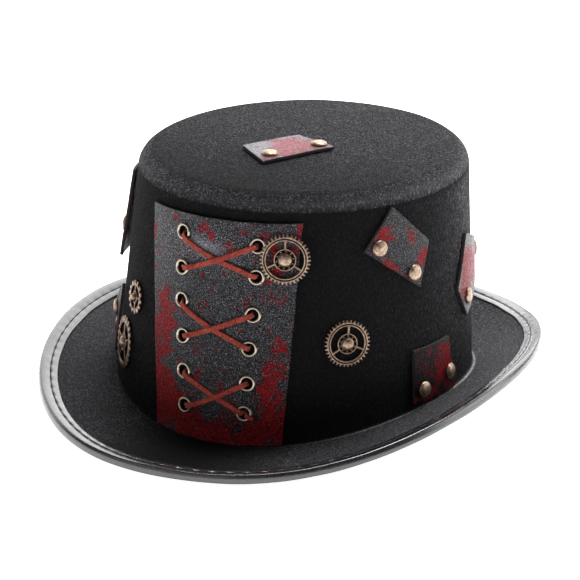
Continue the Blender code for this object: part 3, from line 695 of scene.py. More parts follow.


# Grey finish over crimson leather: the wear attribute says where it is rubbed through, and noise at
# three scales breaks up its outline. Grain speckles both colours and dents the surface. The tone
# attribute says how pale the grey finish is; above one it paints a glossy highlight on both colours.
def leatherFinish():
    material, tree, shader, place = newFinish(
        "grey_over_crimson_leather", leather["grey"], leather["rough"],
    )
    broad = noise(tree, place, 170, 5.0, 0.65)
    grain = noise(tree, place, 800, 5.0, 0.65)
    speckle = noise(tree, place, 2200, 2.0, 0.6)
    tone = attribute(tree, "tone")
    flecks = between(tree, noise(tree, place, 760, 4.0, 0.7), 0.53, 0.62)
    crack = addNode(
        tree, "ShaderNodeTexVoronoi", {"Vector": place, "Scale": 520}, feature="DISTANCE_TO_EDGE",
    ).outputs["Distance"]
    ragged = maths(tree, "ADD", maths(tree, "MULTIPLY", broad, 2.8), maths(tree, "MULTIPLY", grain, 2.4))
    ragged = maths(tree, "ADD", maths(tree, "SUBTRACT", ragged, 2.68), attribute(tree, "wear"))
    rubbed = between(tree, ragged, 0.36, 0.50)
    rubbed = maths(tree, "MULTIPLY", rubbed, ranged(tree, flecks, 0, 1, 1.0, 0.35))
    dark = between(tree, speckle, 0.50, 0.43)
    pale = between(tree, speckle, 0.54, 0.63)
    base = mixed(tree, tone, leather["greyDark"], leather["grey"])
    flecked = maths(tree, "MULTIPLY", pale, tone)
    hide = mixed(tree, flecked, mixed(tree, dark, base, leather["greyDark"]), leather["greyPale"])
    # Tone above one paints a glossy highlight: pale grey over the grey finish and pale pink over the crimson.
    hide = mixed(tree, maths(tree, "MULTIPLY", between(tree, tone, 1.0, 2.4), 0.45), hide, leather["greyPale"])
    under = mixed(tree, flecked, leather["crimson"], leather["crimsonPale"])
    under = mixed(tree, maths(tree, "MULTIPLY", between(tree, tone, 1.0, 2.4), 0.35), under, leather["crimsonHighlight"])
    under = mixed(tree, between(tree, speckle, 0.50, 0.42), under, leather["crimsonDark"])
    colour = mixed(tree, rubbed, hide, under)
    line = between(tree, crack, 0.10, 0.0)
    colour = mixed(tree, maths(tree, "MULTIPLY", line, 0.55), colour, leather["greyDark"])
    height = maths(tree, "ADD", maths(tree, "MULTIPLY", speckle, 0.5), maths(tree, "MULTIPLY", grain, 0.7))
    height = maths(tree, "SUBTRACT", height, maths(tree, "MULTIPLY", rubbed, 0.35))
    height = maths(tree, "SUBTRACT", height, maths(tree, "MULTIPLY", line, 0.3))
    rough = maths(tree, "ADD", ranged(tree, grain, 0.3, 0.7, 0.26, 0.46), maths(tree, "MULTIPLY", rubbed, 0.12))
    gloss = maths(tree, "ADD", tone, 0.3, clamp=True)
    gloss = maths(tree, "MULTIPLY", gloss, ranged(tree, rubbed, 0, 1, 0.22, 0.11))
    normal = bumped(tree, height, 0.9, 0.0006)
    feed(tree, shader, Base_Color=colour, Roughness=rough, Specular_IOR_Level=gloss, Normal=normal)
    return material


def cutEdgeFinish():
    material, tree, shader, place = newFinish("cut_leather_edge", leather["cutEdge"], 0.8)
    layers = noise(tree, place, 1800, 3.0, 0.6)
    colour = mixed(tree, between(tree, layers, 0.4, 0.7), leather["cutEdge"], (0.05, 0.022, 0.02))
    feed(tree, shader, Base_Color=colour, Normal=bumped(tree, layers, 0.8, 0.0004))
    return material


# Soft worn spots on a piece: each row is across, along, half width, half height, tilt in degrees and
# strength, in shares of the piece's width and height. The field is the sum of strength times
# exp(-distance squared), with distance measured in the tilted ellipse of the row.
def wearField(across, along, shape, spots):
    total = np.zeros(np.broadcast(across, along).shape)
    width, height = shape
    for atAcross, atAlong, halfWidth, halfHeight, tilt, strength in spots:
        turn = math.radians(tilt)
        x = (across - atAcross) * width
        y = (along - atAlong) * height
        right = (x * math.cos(turn) + y * math.sin(turn)) / (halfWidth * width)
        up = (y * math.cos(turn) - x * math.sin(turn)) / (halfHeight * height)
        total = total + strength * np.exp(-(right ** 2 + up ** 2) * 0.8)
    return total


# A sheet over a surface, a share across by a share along. Its cut sides waver a little, faces whose
# corners all lie in a hole go, and corners that stay inside one move out to its rim.
def leatherSheet(name, surface, cells, thickness, look, finishes, seed, holes=None):
    size = look["size"]
    across = np.linspace(0, 1, cells[0] + 1)[None, :]
    along = np.linspace(0, 1, cells[1] + 1)[:, None]
    plain = surface(across, along, np.full(np.broadcast(across, along).shape, gap))
    waver = leather["edgeWaver"]
    wide = (wobble(plain, 0.012, seed) * across ** 8 + wobble(plain, 0.013, seed + 1) * (1 - across) ** 8)
    tall = (wobble(plain, 0.012, seed + 2) * along ** 8 + wobble(plain, 0.011, seed + 3) * (1 - along) ** 8)
    movedAcross = across + wide * waver / size[0]
    movedAlong = along + tall * waver / size[1]
    lift = 0.00014 * (1 + wobble(plain, 0.024, seed + 4))
    points = surface(movedAcross, movedAlong, gap + lift)
    wear = wearField(across, along, size, look["wear"]).ravel()
    # Shine spots are painted highlights: they lift the tone above one.
    tone = (lerp(*look["tones"], along) + wearField(across, along, size, look.get("paintedShine", []))).ravel()
    quads = gridQuads(cells[1] + 1, cells[0] + 1)
    points = points.reshape(-1, 3)
    if holes is not None:
        centres, radius = holes
        apart = points[:, None] - centres[None]
        distance = np.linalg.norm(apart, axis=-1)
        nearest = distance.argmin(axis=1)
        inside = distance.min(axis=1) < radius
        quads = quads[~inside[quads].all(axis=1)]
        ray = unit(apart[np.arange(len(points)), nearest])
        points[inside] = (centres[nearest] + ray * radius)[inside]
        used, quads = np.unique(quads, return_inverse=True)
        quads = quads.reshape(-1, 4)
        points = points[used]
        wear = wear[used]
        tone = tone[used]
    piece = newPiece(
        name + "_leather", (points, quads, np.zeros((0, 3), int)), finishes[0], "distressed_leather",
        [name], wear=wear, tone=tone,
    )
    piece.data.materials.append(finishes[1])
    wall = piece.modifiers.new("Thickness", "SOLIDIFY")
    wall.thickness = thickness
    wall.offset = 1
    wall.use_even_offset = True
    wall.material_offset_rim = 1
    soft = piece.modifiers.new("Soft edge", "BEVEL")
    soft.width = leather["bevel"]
    soft.segments = 2
    soft.limit_method = "ANGLE"
    soft.angle_limit = math.radians(50)
    return piece


panel = {
    "thickness": 0.0013,
    "left": {"footAngle": -110.9, "headAngle": -122.2, "head": 0.881},
    "right": {"footAngle": -68.4, "headAngle": -64.6, "head": 0.896},
    "footRise": 0.6,
    "cells": (116, 200),
    "size": (0.062, 0.108),
    "tones": (0.50, 0.68),     # of the grey finish at the foot and at the head
    # painted highlights on the panel, listed like the worn spots
    "paintedShine": [(0.44, 0.865, 0.17, 0.045, -14, 1.5), (0.10, 0.85, 0.12, 0.10, 0, 0.35)],
    "wear": [
        (0.195, 0.973, 0.030, 0.018, 0, 0.8),
        (0.425, 0.952, 0.034, 0.028, 0, 0.9),
        (0.470, 0.920, 0.022, 0.024, 0, 0.7),
        (0.015, 0.885, 0.022, 0.034, 0, 0.8),
        (0.580, 0.890, 0.034, 0.026, 0, 0.55),
        (0.700, 0.950, 0.060, 0.020, 0, 0.35),
        (0.826, 0.955, 0.050, 0.024, 0, 0.5),
        (0.985, 0.960, 0.030, 0.040, 0, 0.7),
        (0.870, 0.865, 0.085, 0.040, 0, 0.7),
        (0.900, 0.790, 0.080, 0.035, 0, 0.7),
        (0.417, 0.741, 0.022, 0.014, 0, 0.6),
        (0.020, 0.705, 0.022, 0.030, 0, 0.6),
        (0.120, 0.620, 0.034, 0.030, 0, 0.7),
        (0.110, 0.555, 0.070, 0.050, 0, 0.9),
        (0.060, 0.460, 0.070, 0.050, 0, 0.9),
        (0.150, 0.470, 0.045, 0.045, 0, 0.9),
        (0.267, 0.614, 0.030, 0.020, 0, 0.5),
        (0.886, 0.673, 0.060, 0.035, 0, 0.6),
        (0.700, 0.650, 0.050, 0.025, 0, 0.35),
        (0.835, 0.528, 0.036, 0.026, 0, 0.5),
        (0.120, 0.370, 0.045, 0.034, 0, 0.8),
        (0.030, 0.310, 0.040, 0.060, 0, 0.9),
        (0.243, 0.318, 0.055, 0.014, 0, 0.55),
        (0.350, 0.400, 0.030, 0.020, 0, 0.45),
        (0.381, 0.296, 0.024, 0.060, -20, 0.9),
        (0.556, 0.255, 0.020, 0.038, -12, 0.8),
        (0.920, 0.447, 0.055, 0.036, 0, 0.8),
        (0.910, 0.330, 0.060, 0.055, 0, 0.95),
        (0.860, 0.240, 0.045, 0.070, 0, 0.9),
        (0.115, 0.255, 0.060, 0.036, 0, 0.8),
        (0.050, 0.180, 0.100, 0.050, 0, 0.9),
        (0.200, 0.160, 0.100, 0.050, 0, 0.9),
        (0.250, 0.060, 0.300, 0.075, 0, 0.95),
        (0.700, 0.045, 0.300, 0.060, 0, 0.85),
        (0.940, 0.120, 0.110, 0.090, 0, 0.9),
        (0.645, 0.062, 0.055, 0.026, 0, -0.9),
        (0.900, 0.015, 0.022, 0.014, 0, -0.9),
        (0.473, 0.112, 0.055, 0.032, 0, -0.5),
    ],
}
eyelet = {"radius": 0.0041, "bore": 0.0026, "wall": 0.00045, "height": 0.0009, "sides": 48}
eyeletsLeft = [
    (-105.9, 0.814),
    (-105.3, 0.676),
    (-104.4, 0.551),
    (-102.9, 0.412),
    (-101.6, 0.278),
    (-100.2, 0.145),
]
eyeletsRight = [
    (-78.7, 0.806),
    (-78.6, 0.686),
    (-79.1, 0.539),
    (-79.7, 0.406),
    (-79.8, 0.271),
    (-80.3, 0.152),
]
panelTop = gap + panel["thickness"]
eyeletTop = panelTop + gap + eyelet["height"]


def eyeletPlaces():
    places = {}
    for side, rows in (("left", eyeletsLeft), ("right", eyeletsRight)):
        for number, (angle, share) in enumerate(rows, start=1):
            places[f"eyelet_{side}_{number}"] = (angle, share * crown["height"])
    return places


# Angles and heights are blended between the four corners, with the foot along the crease.
def panelSurface(across, along, off):
    left, right = panel["left"], panel["right"]
    foot = lerp(left["footAngle"], right["footAngle"], across)
    head = lerp(left["headAngle"], right["headAngle"], across)
    angle = lerp(foot, head, along)
    top = lerp(left["head"], right["head"], across) * crown["height"]
    bottom = creaseHeight(angle) + crown["creaseFillet"] * panel["footRise"]
    return wallPoint(angle, lerp(bottom, top, along), off)


def makePanel(finishes):
    centres = np.array([wallPoint(*place, gap) for place in eyeletPlaces().values()])
    hole = eyelet["bore"] + eyelet["wall"] + gap
    leatherSheet(
        "laced_panel", panelSurface, panel["cells"], panel["thickness"], panel, finishes, 21,
        holes=(centres, hole),
    )
    print("panel: made with", len(centres), "holes")


# Patches: corners run anticlockwise seen from outside, as angle and height share on the wall, or as
# shares of the half width and half length on the tip. Curls say how far each corner stands off the
# felt, in thicknesses of the patch.
patches = {
    "patch_front_upper": {
        "corners": [(-44.3, 0.771), (-23.4, 0.589), (-19.3, 0.763), (-34.5, 0.930)],
        "rivets": [(0.152, 0.215), (0.832, 0.201)],
        "size": (0.036, 0.036),
        "tones": (0.40, 0.52),
        "curls": (0.0, 0.0, 0.0, 0.0),
        "wear": [
            (0.05, 0.40, 0.14, 0.20, 0, 0.8),
            (0.45, 0.05, 0.25, 0.10, 0, 0.7),
            (0.95, 0.60, 0.10, 0.25, 0, 0.8),
            (0.60, 0.80, 0.15, 0.12, 0, 0.6),
            (0.35, 0.55, 0.10, 0.08, 0, 0.4),
        ],
    },
    "patch_front_lower": {
        "corners": [(-25.5, 0.125), (-5.2, 0.126), (-9.2, 0.346), (-26.0, 0.341)],
        "rivets": [(0.210, 0.230), (0.880, 0.340)],
        "size": (0.032, 0.028),
        "tones": (0.0, 0.12),
        "curls": (0.0, 0.0, 0.0, 0.0),
        "wear": [
            (0.55, 0.42, 0.45, 0.50, 0, 0.54),
            (0.82, 0.62, 0.16, 0.35, -15, 0.45),
            (0.10, 0.06, 0.20, 0.10, 0, 0.5),
        ],
    },
    "patch_right_side": {
        "corners": [(-2.8, 0.509), (4.8, 0.371), (39.0, 0.540), (5.3, 0.705)],
        "rivets": [(0.627, 0.148), (0.865, 0.871)],
        "size": (0.040, 0.045),
        "tones": (0.8, 1.0),
        # painted highlight on the patch's face
        "paintedShine": [(0.50, 0.55, 0.25, 0.40, 0, 0.9)],
        "curls": (0.0, 0.0, 0.0, 0.0),
        "wear": [
            (0.30, 0.30, 0.45, 0.40, 0, 0.7),
            (0.70, 0.70, 0.45, 0.40, 0, 0.6),
        ],
    },
    "patch_left_upper": {
        "corners": [(-174.0, 0.525), (-153.5, 0.540), (-153.0, 0.897), (-172.0, 0.873)],
        "rivets": [(0.720, 0.330), (0.220, 0.300)],
        "size": (0.034, 0.046),
        "tones": (0.2, 0.4),
        "curls": (0.0, 1.4, 0.0, 0.0),
        "wear": [
            (0.80, 0.80, 0.20, 0.15, 0, 0.8),
            (0.30, 0.30, 0.25, 0.20, 0, 0.8),
            (0.60, 0.50, 0.15, 0.15, 0, 0.5),
        ],
    },
    "patch_left_lower": {
        "corners": [(-168.0, 0.150), (-150.0, 0.157), (-147.5, 0.452), (-160.0, 0.310)],
        "rivets": [(0.161, 0.297), (0.481, 0.719)],
        "size": (0.030, 0.030),
        "tones": (0.0, 0.1),
        "curls": (0.0, 0.0, 0.0, 1.6),
        "wear": [
            (0.25, 0.50, 0.25, 0.30, 0, 0.8),
            (0.80, 0.30, 0.15, 0.20, 0, 0.7),
        ],
    },
    "patch_tip": {
        "corners": [(-0.264, -0.309), (-0.017, -0.525), (0.250, -0.112), (-0.041, 0.0)],
        "rivets": [(0.735, 0.180), (0.750, 0.900)],
        "size": (0.030, 0.046),
        "tones": (1.0, 1.0),
        # painted highlight on the patch's face
        "paintedShine": [(0.35, 0.50, 0.60, 0.70, 0, 1.5)],
        "curls": (0.0, 0.0, 0.0, 0.0),
        "wear": [
            (0.55, 0.72, 0.45, 0.26, 0, 0.95),
            (0.65, 0.40, 0.32, 0.22, 0, 0.8),
            (0.15, 0.55, 0.14, 0.12, 0, 0.7),
            (0.90, 0.10, 0.14, 0.10, 0, 0.6),
        ],
    },
}
patchThickness = 0.0017
patchCells = 64


# Four values, one for each corner, blended by (1-u)(1-v), u(1-v), uv and (1-u)v.
def cornerBlend(values, across, along):
    weights = ((1 - across) * (1 - along), across * (1 - along), across * along, (1 - across) * along)
    return sum(weight * value for weight, value in zip(weights, values))


def patchSurface(name):
    corners = patches[name]["corners"]
    curls = patches[name]["curls"]

    def surface(across, along, off):
        first, second = (cornerBlend([corner[i] for corner in corners], across, along) for i in range(2))
        raised = off + cornerBlend(curls, across, along) * patchThickness
        if name == "patch_tip":
            return tipPoint(first, second, raised)
        return wallPoint(first, second * crown["height"], raised)
    return surface


def surfaceFrame(surface, across, along, off):
    here = surface(across, along, off)
    level = unit(surface(across + 0.05, along, off) - here)
    normal = unit(np.cross(level, surface(across, along + 0.05, off) - here))
    return here, level, np.cross(normal, level), normal


def makePatches(finishes, bronze):
    for number, (name, patch) in enumerate(patches.items()):
        surface = patchSurface(name)
        leatherSheet(
            name, surface, (patchCells, patchCells), patchThickness, patch, finishes, 40 + 10 * number,
        )
        for place, (across, along) in enumerate(patch["rivets"], start=1):
            seat, level, upward, normal = surfaceFrame(surface, across, along, gap + patchThickness)
            makeRivet(f"{name}_rivet_{place}", (seat + normal * gap, level, upward, normal), bronze)
    print("patches: made", len(patches))


# Metal

metal = {
    "pale": (0.50, 0.43, 0.34),
    "paleTarnish": (0.11, 0.07, 0.05),
    "bronze": (0.250, 0.172, 0.130),
    "bronzeBright": (0.50, 0.37, 0.27),
    "bronzeDark": (0.020, 0.012, 0.009),
}


# Plated brass: bright where it is rubbed, brown where the recess attribute and the noise say so.
def paleFinish():
    material, tree, shader, place = newFinish("pale_plated_brass", metal["pale"], 0.24, 1.0)
    blotch = noise(tree, place, 900, 4.0, 0.6)
    tarnish = maths(tree, "ADD", attribute(tree, "recess"), maths(tree, "SUBTRACT", blotch, 0.5))
    tarnish = between(tree, tarnish, 0.25, 0.8)
    colour = mixed(tree, tarnish, metal["pale"], metal["paleTarnish"])
    rough = ranged(tree, tarnish, 0, 1, 0.28, 0.5)
    feed(tree, shader, Base_Color=colour, Roughness=rough, Normal=bumped(tree, blotch, 0.15, 0.0003))
    return material


def bronzeFinish():
    material, tree, shader, place = newFinish("antique_bronze_plate", metal["bronze"], 0.32, 1.0)
    blotch = noise(tree, place, 700, 5.0, 0.65)
    scratch = fibres(tree, place, (300, 2600, 2600), (20, 40, 15))
    tarnish = maths(tree, "ADD", attribute(tree, "recess"), maths(tree, "MULTIPLY", blotch, 0.7))
    tarnish = between(tree, maths(tree, "SUBTRACT", tarnish, 0.30), 0.18, 0.85)
    worn = between(tree, maths(tree, "SUBTRACT", blotch, attribute(tree, "recess")), 0.42, 0.62)
    colour = mixed(tree, worn, metal["bronze"], metal["bronzeBright"])
    colour = mixed(tree, tarnish, colour, metal["bronzeDark"])
    rough = maths(tree, "ADD", ranged(tree, tarnish, 0, 1, 0.38, 0.55), maths(tree, "MULTIPLY", scratch, 0.1))
    height = maths(tree, "ADD", blotch, maths(tree, "MULTIPLY", scratch, 0.4))
    feed(tree, shader, Base_Color=colour, Roughness=rough, Normal=bumped(tree, height, 0.2, 0.0003))
    return material


# A profile of (radius, height) turned round the outward axis of a place.
def turnedRings(profile, sides, place):
    origin, level, upward, normal = place
    turn = np.radians(np.arange(sides) * 360.0 / sides)
    spoke = level * np.cos(turn)[:, None] + upward * np.sin(turn)[:, None]
    radius, height = np.asarray(profile).T
    return origin + radius[:, None, None] * spoke + height[:, None, None] * normal


# A rolled flange, half an ellipse across, on a barrel that runs down through the panel.
def makeEyelets():
    finish = paleFinish()
    swing = np.radians(np.linspace(-25, 180, 16))
    middle = (eyelet["bore"] + eyelet["radius"]) / 2
    half = (eyelet["radius"] - eyelet["bore"]) / 2
    seat = panelTop + gap
    flange = np.stack([middle + half * np.cos(swing), seat + eyelet["height"] * np.sin(swing)], axis=-1)
    flange[:, 1] = np.maximum(flange[:, 1], seat - gap * 0.6)
    barrel = eyelet["bore"] + eyelet["wall"]
    inside = [(eyelet["bore"], seat - 0.0004), (eyelet["bore"], gap), (barrel, gap), (barrel, seat - gap * 0.6)]
    profile = np.concatenate([flange, inside])
    deep = np.clip((seat + eyelet["height"] * 0.35 - profile[:, 1]) / eyelet["height"], 0, 1)
    for number, (name, place) in enumerate(eyeletPlaces().items()):
        rings = turnedRings(profile, eyelet["sides"], wallFrame(*place))
        rings = rings + wallNormal(*place) * (0.00005 * wobble(rings, 0.006, 80 + number))[..., None]
        recess = np.repeat(deep, eyelet["sides"])
        newPiece(name + "_ring", closedLoops(rings), finish, "pale_brass", [name], recess=recess)
    print("eyelets: made", len(eyeletPlaces()))


rivet = {"radius": 0.0042, "height": 0.0019, "sides": 40}


# A dome (radius = R sin a, height = H cos a) that ends in a thin lip, with a flat underside.
def makeRivet(name, place, bronze):
    swing = np.radians(np.linspace(8, 84, 13))
    radius = rivet["radius"] * 0.97 * np.sin(swing)
    height = rivet["height"] * (0.10 + 0.90 * np.cos(swing) ** 0.8)
    dome = np.stack([radius, height], axis=-1)
    reach, rise = rivet["radius"], rivet["height"]
    lip = [(reach, rise * 0.20), (reach, rise * 0.06), (reach * 0.97, 0.0), (reach * 0.5, 0.0)]
    profile = np.concatenate([dome, lip])
    rings = turnedRings(profile, rivet["sides"], place)
    seed = sum(ord(letter) for letter in name)
    rings = rings + place[3] * (0.00006 * wobble(rings, 0.005, seed))[..., None]
    recess = np.repeat(np.clip((0.30 * rise - profile[:, 1]) / (0.3 * rise), 0, 1), rivet["sides"])
    shape = closedRings(rings, place[0] + place[3] * rise, place[0])
    newPiece(name + "_cap", shape, bronze, "antique_bronze", [name], recess=np.append(recess, [0, 1]))


# Gears

gearThickness = 0.0012
gearRivetHeight = 0.0018
gearShank = 0.0011
gearOverEyelet = 0.0023
gearBearing = -23.7
gears = {
    "gear_panel": {
        "radius": 0.0123, "teeth": 38, "root": 0.90, "tooth": (0.17, 0.27), "rim": 0.74, "hub": 0.44,
        "spokes": (90.0, 205.0, 328.0), "spokeWidth": 0.15, "rivet": 0.26, "pins": 10, "turn": 0.0,
    },
    "gear_front": {
        "radius": 0.0117, "teeth": 36, "root": 0.90, "tooth": (0.17, 0.27), "rim": 0.74, "hub": 0.44,
        "spokes": (84.0, 210.0, 336.0), "spokeWidth": 0.15, "rivet": 0.26, "pins": 10, "turn": 0.0,
        "angle": -49.2, "height": 0.422,
    },
    "gear_left_small": {
        "radius": 0.0085, "teeth": 14, "root": 0.82, "tooth": (0.22, 0.29), "rim": 0.70, "hub": 0.36,
        "spokes": (10.0, 100.0, 190.0, 280.0), "spokeWidth": 0.17, "rivet": 0.24, "pins": 0, "turn": 0.0,
        "angle": -130.9, "height": 0.466,
    },
    "gear_left_large": {
        "radius": 0.0134, "teeth": 23, "root": 0.86, "tooth": (0.22, 0.29), "rim": 0.74, "hub": 0.34,
        "spokes": (20.0, 92.0, 164.0, 236.0, 308.0), "spokeWidth": 0.12, "rivet": 0.22, "pins": 8,
        "turn": 4.0, "angle": -137.9, "height": 0.252,
    },
}


# The toothed rim: a closed section of (radius, height) at every angle, whose outermost points follow
# the teeth. A tooth's reach falls from the full radius to the root between two shares of the pitch.
def toothedRim(gear):
    shares = np.array([-0.5, -0.36, *(-value for value in gear["tooth"][::-1]), -0.08, 0.08, *gear["tooth"], 0.36])
    pitch = 360.0 / gear["teeth"]
    turn = np.radians(((np.arange(gear["teeth"])[:, None] + shares) * pitch).ravel() + gear["turn"])
    reach = np.interp(np.abs(shares), gear["tooth"], (1.0, gear["root"]))
    reach = np.tile(reach, gear["teeth"])[:, None]
    rim, root = gear["rim"], gear["root"]
    fixed = [
        (rim, 0.15), (rim, 0.86), (rim + 0.015, 1.0), (rim + 0.045, 1.0), (rim + 0.062, 0.80),
        (root - 0.060, 0.80), (root - 0.045, 0.98), (root - 0.022, 0.98),
    ]
    tooth = [(-0.014, 0.86), (0.0, 0.74), (0.0, 0.12), (-0.014, 0.0)]
    radius = np.concatenate([
        np.broadcast_to([value[0] for value in fixed], (len(turn), len(fixed))),
        reach + [value[0] for value in tooth],
        np.full((len(turn), 1), rim + 0.015),
    ], axis=1) * gear["radius"]
    height = np.array([value[1] for value in fixed + tooth] + [0.0]) * gearThickness
    recess = np.array([0.9, 0.3, 0, 0, 0.75, 0.75, 0, 0, 0.1, 0.1, 0.9, 1.0, 1.0])
    points = spread(radius * np.cos(turn)[:, None], radius * np.sin(turn)[:, None], height)
    return closedLoops(points), np.tile(recess, len(turn))


# A spoke: a rounded bar with a raised middle, a little wider at both ends.
def spokeBar(gear, bearing):
    along = np.linspace(gear["hub"] - 0.05, gear["rim"] + 0.03, 9)[:, None] * gear["radius"]
    middle = (gear["hub"] + gear["rim"]) / 2 * gear["radius"]
    flare = 1 + 0.5 * ((along - middle) / (middle * 0.35)) ** 4
    half = gear["spokeWidth"] * gear["radius"] / 2 * flare * 0.86
    side = np.array([-1.0, -0.95, -0.55, -0.25, 0.25, 0.55, 0.95, 1.0, 0.9, -0.9])
    height = np.array([0.2, 0.72, 0.80, 0.96, 0.96, 0.80, 0.72, 0.2, 0.04, 0.04]) * gearThickness
    turn = math.radians(bearing + gear["turn"])
    x = along * math.cos(turn) - side * half * math.sin(turn)
    y = along * math.sin(turn) + side * half * math.cos(turn)
    recess = np.tile([1.0, 0.6, 0.5, 0.0, 0.0, 0.5, 0.6, 1.0, 1.0, 1.0], len(along))
    return closedRings(spread(x, y, height)), np.append(recess, [1, 1])


# The hub: a turned disc with a raised rim, a sunk floor and a raised boss under the rivet.
def hubDisc(gear):
    hub, boss = gear["hub"], gear["rivet"] + 0.02
    profile = [
        (0.02, 1.0, 0), (boss - 0.02, 1.0, 0), (boss, 0.9, 0.4), (boss + 0.005, 0.5, 1),
        (hub - 0.055, 0.5, 1), (hub - 0.050, 0.85, 0.5), (hub - 0.038, 1.0, 0), (hub - 0.012, 1.0, 0),
        (hub, 0.88, 0.2), (hub, 0.14, 1), (hub - 0.012, 0.02, 1), (0.05, 0.02, 1),
    ]
    radius, height, recess = np.array(profile).T
    sides = 60
    turn = np.radians(np.arange(sides) * 360.0 / sides)
    x = (radius * gear["radius"])[:, None] * np.cos(turn)
    y = (radius * gear["radius"])[:, None] * np.sin(turn)
    rings = spread(x, y, (height * gearThickness)[:, None])
    top, bottom = np.array([0, 0, gearThickness]), np.array([0, 0, 0.02 * gearThickness])
    return closedRings(rings, top, bottom), np.append(np.repeat(recess, sides), [0, 1])


# The pinion's teeth show as small round pins on the hub's sunk floor.
def hubPin(gear, bearing):
    swing = np.radians(np.array([20, 45, 70, 90, 90]))
    radius = 0.034 * gear["radius"] * np.sin(swing)
    height = gearThickness * np.array([1.12, 1.06, 0.95, 0.85, 0.45])
    turn = np.radians(np.arange(10) * 36.0)
    reach = (gear["rivet"] + gear["hub"] - 0.03) / 2 * gear["radius"]
    at = math.radians(bearing)
    x = reach * math.cos(at) + radius[:, None] * np.cos(turn)
    y = reach * math.sin(at) + radius[:, None] * np.sin(turn)
    return closedRings(spread(x, y, height[:, None])), np.append(np.repeat([0, 0, 0.1, 0.4, 1.0], 10), [0, 1])


# Flat coordinates of a wheel laid on its place: x along level, y up the wall, z outwards.
def laid(points, place, stand):
    origin, level, upward, normal = place
    return origin + points[:, :1] * level + points[:, 1:2] * upward + (points[:, 2:] + stand) * normal


def panelGearPlace(gear):
    angle, share = eyeletsRight[0]
    height = share * crown["height"]
    level = wallFrame(angle, height)[1]
    distance = gear["radius"] + eyelet["radius"] - gearOverEyelet
    bearing = math.radians(gearBearing)
    across = (wallPoint(angle + 1.0, height) - wallPoint(angle, height)) @ level
    return angle + distance * math.cos(bearing) / across, height + distance * math.sin(bearing)


def makeGears(bronze):
    for name, gear in gears.items():
        onPanel = "angle" not in gear
        angle, height = panelGearPlace(gear) if onPanel else (gear["angle"], gear["height"] * crown["height"])
        foot = panelTop + gap if onPanel else gap
        stand = eyeletTop + gap if onPanel else gap
        place = wallFrame(angle, height)
        parts = [toothedRim(gear), hubDisc(gear)]
        parts += [spokeBar(gear, bearing) for bearing in gear["spokes"]]
        parts += [hubPin(gear, 360.0 * pin / gear["pins"] + 12) for pin in range(gear["pins"])]
        points, quads, triangles = joined([part[0] for part in parts])
        recess = np.concatenate([part[1] for part in parts])
        shape = (laid(points, place, stand), quads, triangles)
        newPiece(name + "_wheel", shape, bronze, "antique_bronze", [name], recess=recess)
        makeGearRivet(name + "_rivet", gear, place, stand, foot, bronze)
    print("gears: made", len(gears))


# A domed head over the wheel with its shank down to what carries it.
def makeGearRivet(name, gear, place, stand, foot, bronze):
    head = stand + gearThickness + gap * 0.3
    radius = gear["radius"] * gear["rivet"]
    swing = np.radians(np.linspace(8, 88, 12))
    dome = np.stack([radius * np.sin(swing), head + gearRivetHeight * np.cos(swing) ** 0.75], axis=-1)
    under = [(radius, head + 0.0001), (radius * 0.97, head), (gearShank, head), (gearShank, foot)]
    profile = np.concatenate([dome, under])
    rings = turnedRings(profile, rivet["sides"], place)
    seed = sum(ord(letter) for letter in name)
    rings = rings + place[3] * (0.00007 * wobble(rings, 0.004, seed))[..., None]
    recess = np.repeat(np.clip((head + 0.0003 - profile[:, 1]) / 0.0004, 0, 1), rivet["sides"])
    top = place[0] + place[3] * (head + gearRivetHeight)
    shape = closedRings(rings, top, place[0] + place[3] * foot)
    newPiece(name + "_cap", shape, bronze, "antique_bronze", [name], recess=np.append(recess, [0, 1]))


# Laces

lace = {
    "width": 0.0027,
    "thickness": 0.0011,
    "bendRadius": 0.0016,
    "ramp": 0.0035,
    "tailLength": 0.0012,      # past the last eyelet's flange
    "stations": 120,
    "colour": (0.340, 0.045, 0.030),
    "pale": (0.66, 0.17, 0.115),
    "dark": (0.07, 0.008, 0.006),
    "bows": {                  # how far the middle hangs to one side of the straight line
        "lace_under_1": -0.0026, "lace_over_1": -0.0010,
        "lace_under_2": -0.0022, "lace_over_2": -0.0005,
        "lace_under_3": -0.0010, "lace_over_3": -0.0011,
    },
}


def suedeFinish():
    material, tree, shader, place = newFinish(
        "rust_suede", lace["colour"], 0.9, Sheen_Weight=0.35, Sheen_Roughness=0.5, Specular_IOR_Level=0.2,
    )
    shader.inputs["Sheen Tint"].default_value = (1.0, 0.6, 0.5, 1)
    nap = noise(tree, place, 1400, 4.0, 0.7)
    patchy = noise(tree, place, 330, 3.0, 0.5)
    colour = mixed(tree, between(tree, nap, 0.5, 0.72), lace["colour"], lace["pale"])
    colour = mixed(tree, between(tree, nap, 0.48, 0.32), colour, lace["dark"])
    colour = mixed(tree, ranged(tree, patchy, 0.4, 0.7, 0.0, 0.35), colour, lace["dark"])
    edge = between(tree, attribute(tree, "side"), 0.55, 1.0)
    colour = mixed(tree, maths(tree, "MULTIPLY", edge, 0.45), colour, lace["dark"])
    feed(tree, shader, Base_Color=colour, Normal=bumped(tree, nap, 0.8, 0.0004))
    return material


laceLow = panelTop + gap + lace["thickness"] / 2
laceHigh = eyeletTop + gap + lace["thickness"] / 2


# Distance along and height over the felt, from deep in an eyelet, round the bend, over the flange
# and down to the panel.
def laceEntry():
    inset = lace["thickness"] * 0.25
    swing = np.radians([0.0, 30.0, 60.0, 90.0])
    bend = np.stack([
        inset + lace["bendRadius"] * (1 - np.cos(swing)),
        laceHigh - lace["bendRadius"] * (1 - np.sin(swing)),
    ], axis=-1)
    rest = [
        (eyelet["radius"] + lace["thickness"] * 0.3, laceHigh),
        (eyelet["radius"] + lace["ramp"], laceLow),
    ]
    return np.concatenate([[(inset, gap * 2)], bend, rest])


